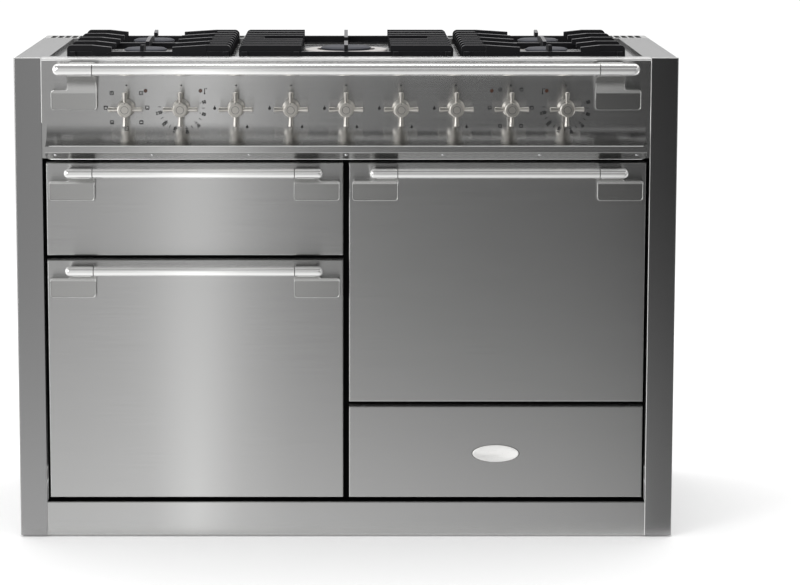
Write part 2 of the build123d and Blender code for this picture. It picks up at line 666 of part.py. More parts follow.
# Hinge brackets: a flange on the front frame below the seal, a round-nosed lug and its pin
with BuildPart() as hinge_brackets:
    for x_low, x_high, z_low, _, mouth in DOORS.values():
        axis_y = FRONT + HINGE_BACK
        axis_z = z_low + HINGE_UP
        for x, way in lug_places(x_low, x_high):
            block(around(x, LUG_WIDTH), (axis_y, FRAME_FRONT), around(axis_z, LUG_HEIGHT))
            rod((x - LUG_WIDTH / 2, axis_y, axis_z), (x + LUG_WIDTH / 2, axis_y, axis_z), LUG_HEIGHT / 2)
            rod((x, axis_y, axis_z), (x + way * (LUG_WIDTH / 2 + EAR_WIDTH + PIN_OVER), axis_y, axis_z),
                PIN_RADIUS)
            block(around(x, LUG_FLANGE), (FRAME_FRONT - LUG_FLANGE_THICK, FRAME_FRONT),
                  (axis_z - LUG_HEIGHT / 2, mouth[2] - SEAL_WIDTH - LUG_CLEAR))
keep(hinge_brackets.part, "hinge_brackets")

# Storage drawer: front panel, and an open box with a runner on each side
keep(panel_skin(FRONT_INNER, FRONT_OUTER, FRONTS_LOW, DRAWER_HIGH), "drawer_front")
DRAWER_BACK = LINER_BACK + DRAWER_BOX_DEPTH
RUNNER_Z = DRAWER_BOX_LOW + RUNNER_RISE
with BuildPart() as drawer_box:
    block(around(FRONT_MIDDLE, DRAWER_BOX_WIDTH), (LINER_BACK, DRAWER_BACK),
          (DRAWER_BOX_LOW, DRAWER_BOX_LOW + DRAWER_BOX_HEIGHT))
    offset(amount=-THIN_SHEET, openings=drawer_box.faces().sort_by(Axis.Z)[-1])
    block((FRONT_INNER + LINER_INSET, FRONT_OUTER - LINER_INSET), (FRONT + DOOR_DEPTH, LINER_BACK),
          (FRONTS_LOW + LINER_INSET, DRAWER_HIGH - LINER_INSET))
    for side in (-1, 1):
        wall = FRONT_MIDDLE + side * DRAWER_BOX_WIDTH / 2
        block((wall, wall + side * RUNNER_WIDTH), (FRAME_BACK + RUNNER_WIDTH, DRAWER_BACK),
              around(RUNNER_Z, RUNNER_HEIGHT))
keep(drawer_box.part, "drawer_box")

# Drawer rails: a channel round each runner, fixed behind the front frame
with BuildPart() as drawer_rails:
    for side in (-1, 1):
        wall = FRONT_MIDDLE + side * DRAWER_BOX_WIDTH / 2
        web = wall + side * (DRAWER_MOUTH_MARGIN + RUN_GAP)
        block((wall + side * RUN_GAP * 2, web + side * SHEET), (FRAME_BACK, DRAWER_BACK),
              around(RUNNER_Z, RUNNER_HEIGHT + 2 * RUN_GAP + 2 * SHEET))
        block((wall, web), (FRAME_BACK, DRAWER_BACK), around(RUNNER_Z, RUNNER_HEIGHT + 2 * RUN_GAP),
              Mode.SUBTRACT)
keep(drawer_rails.part, "drawer_rails")


def rod_level(mouth, level):
    """The top of a ladder rod above the floor of its cavity."""
    return mouth[2] + LADDER_PITCH * (level + 1) + LADDER_ROD / 2


def ladder(mouth, rods, depth):
    """Side ladders of one cavity, on both walls: two posts each, and rods from front to back."""
    x, width, low, _ = mouth
    start = FRAME_BACK + FITTING_SETBACK
    top = rod_level(mouth, rods - 1) + LADDER_ROD
    with BuildPart() as rails:
        for side in (-1, 1):
            wall = x + side * width / 2
            for y in (start + LADDER_POST, start + depth - LADDER_POST):
                block((wall, wall - side * LADDER_POST), around(y, LADDER_POST), (low, top))
            for level in range(rods):
                block((wall, wall - side * LADDER_REACH), (start, start + depth),
                      (rod_level(mouth, level) - LADDER_ROD, rod_level(mouth, level)))
    return rails.part


OVENS = {"left_oven": LEFT_MOUTH, "right_oven": RIGHT_MOUTH}
BROILER_LADDER_DEPTH = BROILER_DEPTH - 2 * FITTING_SETBACK
with BuildPart() as rack_ladders:
    for mouth in OVENS.values():
        add(ladder(mouth, LADDER_RODS, RACK_DEPTH))
    add(ladder(BROILER_MOUTH, 1, BROILER_LADDER_DEPTH))
keep(rack_ladders.part, "rack_ladders")

# Wire racks on the middle rods
for name, mouth in OVENS.items():
    x, width, _, _ = mouth
    half = width / 2 - LADDER_POST - RACK_WIRE_RADIUS - LUG_ROOM
    start = FRAME_BACK + FITTING_SETBACK + RACK_WIRE_RADIUS
    end = start + RACK_DEPTH - 2 * RACK_WIRE_RADIUS
    z = rod_level(mouth, RACK_LEVEL) + RUN_GAP + RACK_WIRE_RADIUS
    with BuildPart() as rack:
        for side in (-1, 1):
            rod((x + side * half, start - RACK_WIRE_RADIUS, z), (x + side * half, end + RACK_WIRE_RADIUS, z),
                RACK_WIRE_RADIUS)
        for y in (start, (start + end) / 2, end):
            rod((x - half, y, z), (x + half, y, z), RACK_BAR_RADIUS)
        for step in range(1, RACK_BARS):
            bar_x = x - half + 2 * half * step / RACK_BARS
            rod((bar_x, start, z + RACK_WIRE_RADIUS / 2), (bar_x, end, z + RACK_WIRE_RADIUS / 2),
                RACK_BAR_RADIUS)
    keep(rack.part, f"{name}_rack")

# Broiler pan, hung by its rim on the broiler rods
with BuildPart() as broiler_pan:
    rim_half = CAVITY_WIDTH / 2 - LADDER_POST - LUG_ROOM
    rim_low = rod_level(BROILER_MOUTH, 0) + RUN_GAP
    start = FRAME_BACK + FITTING_SETBACK
    end = start + BROILER_LADDER_DEPTH
    pan_width = CAVITY_WIDTH - 2 * (LADDER_REACH + PAN_LIP)
    pan_length = BROILER_LADDER_DEPTH - 2 * PAN_LIP
    block(around(BROILER_MOUTH[0], pan_width), (start + PAN_LIP, end - PAN_LIP),
          (rim_low + SHEET - PAN_DEPTH, rim_low + SHEET))
    fillet(broiler_pan.edges().filter_by(Axis.Z), PAN_LIP)
    offset(amount=-THIN_SHEET, openings=broiler_pan.faces().sort_by(Axis.Z)[-1])
    with BuildSketch(Plane.XY.offset(rim_low)):
        with Locations((BROILER_MOUTH[0], (start + end) / 2)):
            Rectangle(2 * rim_half, BROILER_LADDER_DEPTH)
            RectangleRounded(pan_width - THIN_SHEET, pan_length - THIN_SHEET, PAN_LIP - THIN_SHEET,
                             mode=Mode.SUBTRACT)
    extrude(amount=SHEET)
keep(broiler_pan.part, "broiler_pan")

# Fans: a slotted baffle, a bladed wheel on its shaft, and a motor behind the cavity
OVEN_BACK = FRAME_BACK + OVEN_DEPTH
MOTOR_FRONT = OVEN_BACK + THIN_SHEET
with BuildPart() as fan_baffles:
    for x, _, low, high in OVENS.values():
        middle = (low + high) / 2
        block(around(x, BAFFLE_SIZE), (OVEN_BACK - BAFFLE_DEPTH, OVEN_BACK), around(middle, BAFFLE_SIZE))
        block(around(x, BAFFLE_SIZE - 2 * THIN_SHEET), (OVEN_BACK - BAFFLE_DEPTH + THIN_SHEET, OVEN_BACK),
              around(middle, BAFFLE_SIZE - 2 * THIN_SHEET), Mode.SUBTRACT)
        with BuildSketch(Plane.XZ.offset(-OVEN_BACK + BAFFLE_DEPTH)):
            with Locations((x, middle)):
                with PolarLocations(BAFFLE_SLOT, FAN_BLADES):
                    SlotOverall(BAFFLE_SLOT, BAFFLE_SLOT_WIDTH)
        extrude(amount=-THIN_SHEET, mode=Mode.SUBTRACT)
keep(fan_baffles.part, "fan_baffles")

with BuildPart() as fan_motors:
    for x, _, low, high in OVENS.values():
        middle = (low + high) / 2
        rod((x, MOTOR_FRONT, middle), (x, MOTOR_FRONT + MOTOR_LENGTH, middle), MOTOR_RADIUS)
        rod((x, MOTOR_FRONT, middle), (x, MOTOR_FRONT + MOTOR_LENGTH / 2, middle), SHAFT_RADIUS + RUN_GAP,
            Mode.SUBTRACT)
keep(fan_motors.part, "fan_motors")

for name, (x, _, low, high) in OVENS.items():
    hub = (x, OVEN_BACK - LUG_ROOM, (low + high) / 2)
    with BuildPart(Plane(origin=hub, x_dir=(1, 0, 0), z_dir=(0, -1, 0))) as fan:
        with Locations((0, 0, FAN_DEPTH / 2)):
            Cylinder(FAN_HUB_RADIUS, FAN_DEPTH)
            with PolarLocations((FAN_RADIUS + FAN_HUB_RADIUS) / 2 - FAN_BLADE_SINK, FAN_BLADES):
                Box(FAN_RADIUS - FAN_HUB_RADIUS, THIN_SHEET, FAN_DEPTH)
        with Locations((0, 0, THIN_SHEET / 2)):
            Cylinder(FAN_RADIUS, THIN_SHEET)
        shaft_length = LUG_ROOM + THIN_SHEET + MOTOR_LENGTH / 2 - SHAFT_END_GAP
        with Locations((0, 0, -shaft_length / 2)):
            Cylinder(SHAFT_RADIUS, shaft_length)
    keep(fan.part, f"{name}_fan")

# Heating elements: a ring round each fan, and a looped grill under the broiler roof
GRILL_Z = BROILER_MOUTH[3] - 4 * ELEMENT_RADIUS
GRILL_BACK = FRAME_BACK + BROILER_DEPTH
GRILL_STEP = (CAVITY_WIDTH - 2 * LINER_PLUG_MARGIN) / GRILL_RUNS
grill_points = []
for run in range(GRILL_RUNS):
    run_x = BROILER_MOUTH[0] + (run - (GRILL_RUNS - 1) / 2) * GRILL_STEP
    far = GRILL_BACK if run in (0, GRILL_RUNS - 1) else GRILL_BACK - 2 * FITTING_SETBACK
    ends = [(run_x, far, GRILL_Z), (run_x, FRAME_BACK + 3 * FITTING_SETBACK, GRILL_Z)]
    grill_points += ends if run % 2 == 0 else ends[::-1]
with BuildPart() as heating_elements:
    with BuildLine():
        FilletPolyline(*grill_points, radius=GRILL_STEP / 3)
    with BuildSketch(Plane.XZ.offset(-GRILL_BACK)):
        with Locations((grill_points[0][0], GRILL_Z)):
            Circle(ELEMENT_RADIUS)
    sweep()
    for x, _, low, high in OVENS.values():
        ring = (x, OVEN_BACK - BAFFLE_DEPTH / 2, (low + high) / 2)
        with Locations(Plane(origin=ring, z_dir=(0, 1, 0)).location):
            Torus(ELEMENT_RING, ELEMENT_RADIUS)
        for side in (-1, 1):
            leg = (x + side * ELEMENT_RING, OVEN_BACK, ring[2])
            rod((leg[0], ring[1], leg[2]), leg, ELEMENT_RADIUS)
keep(heating_elements.part, "heating_elements")

# Hob tray: a pressed tray with sloping walls inside a flat rim
BURNERS = [(side * BURNER_X, FRONT + depth, BURNER_RING, BURNER_CROWN, BURNER_CAP, BURNER_RISE)
           for side in (-1, 1) for depth in (BURNER_FRONT, BURNER_REAR)]
BURNERS.append((0, FRONT + BURNER_MIDDLE, WOK_RING, WOK_CROWN, WOK_CAP, WOK_RISE))
with BuildPart() as hob_tray:
    tray_middle = FRAME_FRONT + TRAY_DEPTH / 2
    mouth_size = (2 * (BODY_HALF - TRAY_RIM), TRAY_DEPTH - 2 * TRAY_RIM)
    block((-BODY_HALF, BODY_HALF), (FRAME_FRONT, TRAY_BACK), (HOB_HEIGHT - SHEET, HOB_HEIGHT))
    with BuildSketch(Plane.XY.offset(HOB_HEIGHT)):
        with Locations((0, tray_middle)):
            Rectangle(*mouth_size)
    extrude(amount=-TRAY_DROP, taper=TRAY_SLOPE)
    with BuildSketch(Plane.XY.offset(HOB_HEIGHT)):
        with Locations((0, tray_middle)):
            Rectangle(*(size - 2 * SHEET for size in mouth_size))
    extrude(amount=TRAY_FLOOR - HOB_HEIGHT, taper=TRAY_SLOPE, mode=Mode.SUBTRACT)
    for x, y, *_ in BURNERS:
        rod((x, y, TRAY_FLOOR - 2 * SHEET), (x, y, TRAY_FLOOR + SHEET), STEM_RADIUS + STEM_ROOM,
            Mode.SUBTRACT)
keep(hob_tray.part, "hob_tray")

# Slotted vent channel along the back, over the whole width
with BuildPart() as vent_trim:
    block((-WIDTH / 2, WIDTH / 2), (TRAY_BACK, BACK), (VENT_LOW, HOB_HEIGHT))
    fillet(vent_trim.faces().sort_by(Axis.Z)[-1].edges().filter_by(Axis.Y), EDGE_RADIUS)
    offset(amount=-SHEET, openings=vent_trim.faces().sort_by(Axis.Z)[0])
    slots = int((WIDTH - VENT_PITCH) / VENT_PITCH)
    with BuildSketch(Plane.XY.offset(HOB_HEIGHT)):
        with Locations((0, (TRAY_BACK + BACK) / 2)):
            with GridLocations(VENT_PITCH, VENT_PITCH, slots, 1):
                Rectangle(VENT_SLOT_WIDTH, VENT_SLOT_LENGTH)
    extrude(amount=-SHEET, mode=Mode.SUBTRACT)
keep(vent_trim.part, "vent_trim")

# Burner bases: dished ring, crown with flame ports, and a stem through the tray
with BuildPart() as burner_bases:
    for x, y, ring, crown, _, rise in BURNERS:
        with BuildSketch(Plane(origin=(x, y, TRAY_FLOOR), x_dir=(1, 0, 0), z_dir=(0, -1, 0))):
            with BuildLine():
                Polyline((0, -STEM_DROP), (STEM_RADIUS, -STEM_DROP), (STEM_RADIUS, 0), (ring, 0),
                         (ring, THIN_SHEET), (crown + CROWN_FLARE, SHEET), (crown, 2 * SHEET), (crown, rise),
                         (0, rise), close=True)
            make_face()
        revolve(axis=Axis((x, y, 0), (0, 0, 1)))
        with Locations((x, y, TRAY_FLOOR + rise)):
            with PolarLocations(crown, PORT_COUNT):
                Box(2 * PORT_WIDTH, PORT_WIDTH, PORT_WIDTH, mode=Mode.SUBTRACT)
    wok = (0, FRONT + BURNER_MIDDLE, TRAY_FLOOR)
    with BuildSketch(Plane(origin=wok, x_dir=(1, 0, 0), z_dir=(0, -1, 0))):
        with BuildLine():
            Polyline((WOK_RING_IN, 0), (WOK_RING, 0), (WOK_RING, WOK_RING_HEIGHT - WOK_RING_EDGE),
                     (WOK_RING - WOK_RING_EDGE, WOK_RING_HEIGHT), (WOK_RING_IN, WOK_RING_HEIGHT), close=True)
        make_face()
    revolve(axis=Axis(wok, (0, 0, 1)))
keep(burner_bases.part, "burner_bases")

# Burner caps
with BuildPart() as burner_caps:
    for x, y, _, _, cap, rise in BURNERS:
        with BuildSketch(Plane(origin=(x, y, TRAY_FLOOR + rise), x_dir=(1, 0, 0), z_dir=(0, -1, 0))):
            with BuildLine():
                Polyline((0, 0), (cap - CAP_BEVEL, 0), (cap, CAP_BEVEL), (cap, CAP_SIDE),
                         (cap - CAP_SHOULDER, CAP_THICK - CAP_DOME), (0, CAP_THICK), close=True)
            make_face()
        revolve(axis=Axis((x, y, 0), (0, 0, 1)))
keep(burner_caps.part, "burner_caps")

# Supply pipes from the taps to the burner stems
PIPE_ROUTES = zip(GAS_KNOBS, (0, 1, 4, 3, 2))
PIPE_TOP = TRAY_FLOOR - STEM_DROP
with BuildPart() as burner_pipes:
    for index, burner in PIPE_ROUTES:
        tap_x = knob_x(index)
        x, y, *_ = BURNERS[burner]
        points = [(tap_x, TAP_BACK, KNOB_Z), (tap_x, y, KNOB_Z), (x, y, KNOB_Z), (x, y, PIPE_TOP)]
        if x == tap_x:
            points.pop(1)
        with BuildLine() as route:
            FilletPolyline(*points, radius=PIPE_BEND / 2)
        with BuildSketch(Plane.XZ.offset(-TAP_BACK)):
            with Locations((tap_x, KNOB_Z)):
                Circle(PIPE_RADIUS)
        sweep(path=route.line)
keep(burner_pipes.part, "burner_pipes")

# Pan supports: upright slats on low rails, with blades that reach in towards the flames
SLAT_LOW = SUPPORT_TOP - SLAT_HEIGHT
RAIL_TOP = SLAT_LOW + SLAT_HEIGHT / 2
SUPPORT_START = FRONT + SUPPORT_FRONT
SLAT_YS = [SUPPORT_START + SUPPORT_PITCH * step + SUPPORT_RAIL for step in range(SUPPORT_SLATS)]
SUPPORT_END = SLAT_YS[-1] + SUPPORT_RAIL


def slat(outer, tip, y, tapered):
    """An upright slat along X with a round outer shoulder; a tapered one falls and thins to its tip."""
    way = 1 if tip > outer else -1
    flat_end = outer + way * SLAT_SHANK
    if tapered:
        ending = [(flat_end, SUPPORT_TOP), (tip, SUPPORT_TOP - SLAT_FALL),
                  (tip, SUPPORT_TOP - SLAT_HEIGHT / 2), (tip - way * SLAT_UNDERCUT, SLAT_LOW)]
    else:
        ending = [(tip, SUPPORT_TOP), (tip, SLAT_LOW)]
    with BuildPart() as bar:
        with BuildSketch(Plane.XZ.offset(-y)):
            with BuildLine():
                shoulder = Line((outer, SLAT_LOW), (outer, SUPPORT_TOP - SLAT_ROUND))
                RadiusArc(shoulder @ 1, (outer + way * SLAT_ROUND, SUPPORT_TOP), way * SLAT_ROUND)
                Polyline((outer + way * SLAT_ROUND, SUPPORT_TOP), *ending, (outer, SLAT_LOW))
            make_face()
        extrude(amount=SLAT_THICK / 2, both=True)
        if tapered:
            with BuildSketch(Plane.XZ.offset(-y)):
                with BuildLine():
                    Polyline(*ending, (flat_end, SLAT_LOW), close=True)
                make_face()
            extrude(amount=SLAT_BLADE / 2, both=True)
    return bar.part


def blade(x, root, tip):
    """A thin blade along Y, full height at its root and pointed at its tip."""
    with BuildPart() as bar:
        with BuildSketch(Plane.YZ.offset(x - BLADE_THICK / 2)):
            with BuildLine():
                Polyline((root, SLAT_LOW), (root, SUPPORT_TOP), (tip, SUPPORT_TOP - SLAT_FALL),
                         (tip, SUPPORT_TOP - SLAT_HEIGHT / 2), ((root + tip) / 2, SLAT_LOW), close=True)
            make_face()
        extrude(amount=BLADE_THICK)
    return bar.part


def support_frame(x_low, x_high, rails, cross_bars):
    """The low frame of a pan support: rails along Y, bars along X, and a foot under each corner."""
    with BuildPart() as frame:
        for x in rails:
            block(around(x, SUPPORT_RAIL), (SUPPORT_START, SUPPORT_END), (SLAT_LOW, RAIL_TOP))
        for y in cross_bars:
            block((x_low, x_high), around(y, SUPPORT_RAIL), (SLAT_LOW, RAIL_TOP))
        for x in (x_low, x_high):
            for y in (SLAT_YS[0], SLAT_YS[-1]):
                with Locations((x, y, TRAY_FLOOR)):
                    Cylinder(SUPPORT_RAIL / 2, SLAT_LOW - TRAY_FLOOR,
                             align=(Align.CENTER, Align.CENTER, Align.MIN))
    return frame.part


def side_support(side):
    """Two facing combs of slats that stop short of the two burners, with stubs between the inner ones."""
    inner = side * SIDE_SUPPORT_IN
    outer = side * SIDE_SUPPORT_OUT
    axis = side * BURNER_X
    flames = (FRONT + BURNER_FRONT, FRONT + BURNER_REAR)
    rails = (inner + side * SUPPORT_RAIL, outer - side * SUPPORT_RAIL)
    middle = (flames[0] + flames[1]) / 2
    frame = support_frame(min(rails), max(rails), rails, (SLAT_YS[0], middle, SLAT_YS[-1]))
    bars = []
    for y in SLAT_YS[::2]:
        bars.append(slat(outer, axis + side * FLAME_CLEAR, y, True))
        bars.append(slat(inner, axis - side * FLAME_CLEAR, y, True))
    for y in SLAT_YS[1::2]:
        bars.append(slat(inner, inner + side * STUB_LENGTH, y, False))
    bars.append(blade(axis, SLAT_YS[0], flames[0] - BLADE_TIP))
    bars.append(blade(axis, middle, flames[0] + BLADE_TIP))
    bars.append(blade(axis, middle, flames[1] - BLADE_TIP))
    bars.append(blade(axis, SLAT_YS[-1], flames[1] + BLADE_TIP))
    with BuildPart() as support:
        add(frame)
        add(bars)
    return support.part


def centre_support():
    """Two blocks of slats either side of the wok burner, joined in front of and behind it."""
    outer_rail = CENTRE_SUPPORT_OUT - SUPPORT_RAIL
    inner_rail = CENTRE_SUPPORT_IN + SUPPORT_RAIL
    rails = (-outer_rail, -inner_rail, inner_rail, outer_rail)
    flame = FRONT + BURNER_MIDDLE
    frame = support_frame(-outer_rail, outer_rail, rails, (SLAT_YS[0], SLAT_YS[-1]))
    bars = []
    for side in (-1, 1):
        for step, y in enumerate(SLAT_YS):
            short = step == SUPPORT_SLATS // 2
            tip = CENTRE_SUPPORT_OUT - STUB_LENGTH if short else CENTRE_SUPPORT_IN
            bars.append(slat(side * CENTRE_SUPPORT_OUT, side * tip, y, False))
    bars.append(blade(0, SLAT_YS[0], flame - WOK_CAP))
    bars.append(blade(0, SLAT_YS[-1], flame + WOK_CAP))
    with BuildPart() as support:
        add(frame)
        add(bars)
    return support.part


keep(side_support(-1), "pan_support_left")
keep(centre_support(), "pan_support_centre")
keep(side_support(1), "pan_support_right")
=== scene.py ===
"""Looks of the stainless range cooker: finishes, printed signs, screws, bare plate, studio and camera."""
import json
import math

import bpy
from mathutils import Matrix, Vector


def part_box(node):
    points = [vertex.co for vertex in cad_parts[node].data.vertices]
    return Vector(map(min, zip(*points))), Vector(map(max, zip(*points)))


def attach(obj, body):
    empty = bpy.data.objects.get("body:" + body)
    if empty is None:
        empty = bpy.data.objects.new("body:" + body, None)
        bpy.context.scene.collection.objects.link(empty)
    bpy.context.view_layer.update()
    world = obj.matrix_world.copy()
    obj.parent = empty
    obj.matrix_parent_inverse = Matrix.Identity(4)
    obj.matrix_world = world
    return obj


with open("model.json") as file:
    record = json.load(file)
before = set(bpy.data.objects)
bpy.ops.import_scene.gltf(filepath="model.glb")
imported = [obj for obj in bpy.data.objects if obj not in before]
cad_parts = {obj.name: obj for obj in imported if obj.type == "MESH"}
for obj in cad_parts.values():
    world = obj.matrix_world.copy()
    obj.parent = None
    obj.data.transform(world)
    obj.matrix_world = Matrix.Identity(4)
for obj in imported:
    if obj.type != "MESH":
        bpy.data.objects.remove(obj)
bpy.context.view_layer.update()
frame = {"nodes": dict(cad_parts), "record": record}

# Places and sizes of the solids, in metres
FASCIA_LOW, FASCIA_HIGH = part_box("control_fascia")
FRONT_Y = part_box("side_panel_left")[0].y
RAIL_LOW, RAIL_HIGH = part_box("hand_rail_bar")
RAIL_RADIUS = (RAIL_HIGH.z - RAIL_LOW.z) / 2
DOORS = ("broiler_door", "left_oven_door", "right_oven_door")
BAR_REACH = 0.045
BAR_Y = FRONT_Y - BAR_REACH
BAR_RADIUS = 0.009
KNOB_COUNT = 9
JOINTS = {joint["name"]: joint for joint in frame["record"]["behaviour"]["joints"]}
KNOB_CENTRES = [Vector(JOINTS[f"knob_{n}_turn"]["pos_m"]) for n in range(1, KNOB_COUNT + 1)]
ALONG_X = (1, 0, 0)
TO_FRONT = (0, -1, 0)


def bar_height(door):
    """Height of a door's handle bar, whose top is the top of the handle."""
    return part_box(f"{door}_handle")[1].z - BAR_RADIUS


# Shader helpers

NOISE_DETAIL = 4.0
NOISE_ROUGHNESS = 0.6
ACROSS_GRAIN = {"X": 0.03, "Y": 0.12, "Z": 1.0}


def new_material(name):
    material = bpy.data.materials.new(name)
    material.use_nodes = True
    return material, material.node_tree, material.node_tree.nodes["Principled BSDF"]


def add_node(tree, kind, settings=None, **inputs):
    """Add a shader node; an input is given by its name, with _ for a blank, as a value or a socket."""
    made = tree.nodes.new(kind)
    for key, value in (settings or {}).items():
        setattr(made, key, value)
    for key, value in inputs.items():
        socket = made.inputs[key.replace("_", " ")]
        if isinstance(value, bpy.types.NodeSocket):
            tree.links.new(value, socket)
        else:
            socket.default_value = value
    return made


def add_math(tree, operation, first, second):
    made = add_node(tree, "ShaderNodeMath", {"operation": operation})
    tree.links.new(first, made.inputs[0])
    tree.links.new(second, made.inputs[1])
    return made.outputs["Value"]


def stretched_noise(tree, stretch, scale):
    """Noise over the object's own coordinates, drawn out by the given factors."""
    coordinates = add_node(tree, "ShaderNodeTexCoord")
    mapping = add_node(tree, "ShaderNodeMapping", Vector=coordinates.outputs["Object"], Scale=stretch)
    noise = add_node(tree, "ShaderNodeTexNoise", Vector=mapping.outputs["Vector"], Scale=scale,
                     Detail=NOISE_DETAIL, Roughness=NOISE_ROUGHNESS)
    return noise.outputs["Fac"]


def ramp(tree, factor, low, high):
    """A colour that runs from low to high with the factor."""
    mix = add_node(tree, "ShaderNodeMixRGB", Fac=factor, Color1=(*low, 1), Color2=(*high, 1))
    return mix.outputs["Color"]


def spread(tree, factor, low, high):
    """A number that runs from low to high with the factor."""
    return add_node(tree, "ShaderNodeMapRange", Value=factor, To_Min=low, To_Max=high).outputs["Result"]


def shade(colour, factor):
    return tuple(channel * factor for channel in colour)


def finish_material(name, colour, metallic, roughness, vary=0.08, stretch=(1, 1, 1), scale=60.0, bump=0.1,
                    bump_depth=0.0004, rough_vary=0.06, aniso=0.0, coat=0.0, specular=0.5):
    """A finish whose colour, roughness and relief all follow one noise."""
    material, tree, shader = new_material(name)
    factor = stretched_noise(tree, stretch, scale)
    tone = ramp(tree, factor, shade(colour, 1 - vary), shade(colour, 1 + vary))
    tree.links.new(tone, shader.inputs["Base Color"])
    matt = spread(tree, factor, roughness - rough_vary, roughness + rough_vary)
    tree.links.new(matt, shader.inputs["Roughness"])
    relief = add_node(tree, "ShaderNodeBump", Strength=bump, Distance=bump_depth, Height=factor)
    tree.links.new(relief.outputs["Normal"], shader.inputs["Normal"])
    shader.inputs["Metallic"].default_value = metallic
    shader.inputs["Specular IOR Level"].default_value = specular
    shader.inputs["Coat Weight"].default_value = coat
    if aniso:
        shader.inputs["Anisotropic"].default_value = aniso
        across_grain = add_node(tree, "ShaderNodeCombineXYZ", **ACROSS_GRAIN)
        tree.links.new(across_grain.outputs["Vector"], shader.inputs["Tangent"])
    return material


# Finishes: colour, metallic, roughness, and how far and how finely they vary

SHEET_GRAIN = {"stretch": (0.02, 0.02, 1), "bump_depth": 0.0001}
BAR_GRAIN = {"stretch": (0.05, 1, 1), "scale": 500.0, "vary": 0.03, "bump_depth": 0.0001}
STAINLESS = finish_material("brushed_stainless", (0.56, 0.56, 0.555), 1.0, 0.23, vary=0.05, scale=420.0,
                            bump=0.08, rough_vary=0.03, aniso=0.97, **SHEET_GRAIN)
# A darker copy of the brushed stainless for the side panels and the hob tray: painted shade
SHADED_CHEEK_STAINLESS = finish_material("shaded_cheek_stainless", (0.38, 0.38, 0.38), 1.0, 0.23, vary=0.02, scale=900.0,
                        bump=0.02, rough_vary=0.02, aniso=0.9, **SHEET_GRAIN)
SATIN_BAR = finish_material("satin_bar", (0.93, 0.93, 0.92), 0.75, 0.1, bump=0.008, rough_vary=0.02,
                            **BAR_GRAIN)
# A lighter copy of the bracket steel for the brackets' rims: painted highlight
RIM_HIGHLIGHT_STEEL = finish_material("rim_highlight_steel", (0.78, 0.78, 0.77), 1.0, 0.2, bump=0.02, rough_vary=0.04,
                            **BAR_GRAIN)
# A whiter, partly matt steel for the thin lines along edges: painted highlight
EDGE_HIGHLIGHT_STEEL = finish_material("edge_highlight_steel", (0.93, 0.93, 0.92), 0.62, 0.22, bump=0.02, rough_vary=0.04,
                             **BAR_GRAIN)
BRACKET = finish_material("bracket_steel", (0.54, 0.54, 0.53), 1.0, 0.26, vary=0.03, scale=420.0,
                          bump=0.05, rough_vary=0.03, aniso=0.8, **SHEET_GRAIN)
NICKEL = finish_material("satin_nickel", (0.72, 0.695, 0.65), 1.0, 0.3, vary=0.05, scale=300.0, bump=0.05,
                         bump_depth=0.0001)
ENAMEL = finish_material("black_enamel", (0.012, 0.012, 0.014), 0.0, 0.22, vary=0.2, scale=90.0, bump=0.04,
                         coat=0.4)
# A dull black for the front frame and the plinth's top: painted shade in the gaps round the doors
GAP_SHADE_BLACK = finish_material("gap_shade_black", (0.004, 0.004, 0.004), 0.0, 0.7, vary=0.3, scale=120.0,
                              bump=0.05, specular=0.1)
ZINC = finish_material("zinc_plate", (0.46, 0.47, 0.48), 1.0, 0.48, vary=0.14, scale=70.0, bump=0.03)
IRON = finish_material("cast_iron", (0.008, 0.008, 0.01), 0.0, 0.5, vary=0.35, scale=700.0, bump=0.35,
                       bump_depth=0.0006, rough_vary=0.1, specular=0.25)
# Lighter iron for the pan supports' tops and rounded edges: wear, and painted highlight too
WORN_AND_HIGHLIT_IRON = finish_material("worn_and_highlit_iron", (0.16, 0.158, 0.165), 0.45, 0.42, vary=0.3, scale=600.0, bump=0.25,
                            bump_depth=0.0005, rough_vary=0.08)
CAP_ENAMEL = finish_material("cap_enamel", (0.06, 0.062, 0.074), 0.0, 0.6, vary=0.3, scale=500.0, bump=0.15,
                             specular=0.2)
CAST_ALLOY = finish_material("cast_aluminium", (0.6, 0.575, 0.56), 1.0, 0.5, vary=0.1, scale=450.0, bump=0.2)
BRASS = finish_material("tap_brass", (0.62, 0.44, 0.18), 1.0, 0.35, vary=0.08, scale=200.0)
SWITCH = finish_material("switch_plastic", (0.03, 0.03, 0.032), 0.0, 0.55, vary=0.2, scale=300.0)
LENS = finish_material("lamp_lens", (0.055, 0.022, 0.013), 0.0, 0.12, vary=0.15, scale=200.0, bump=0.02,
                       coat=0.6)
SEAL = finish_material("gasket", (0.03, 0.03, 0.03), 0.0, 0.85, vary=0.4, scale=900.0, bump=0.6,
                       bump_depth=0.0008)
RUBBER = finish_material("foot_rubber", (0.025, 0.025, 0.026), 0.0, 0.75, vary=0.25, scale=250.0, bump=0.2)
CHROME = finish_material("plated_wire", (0.75, 0.75, 0.76), 1.0, 0.12, vary=0.04, scale=300.0, bump=0.02,
                         rough_vary=0.04)
SHEATH = finish_material("element_sheath", (0.16, 0.15, 0.145), 1.0, 0.55, vary=0.25, scale=150.0)
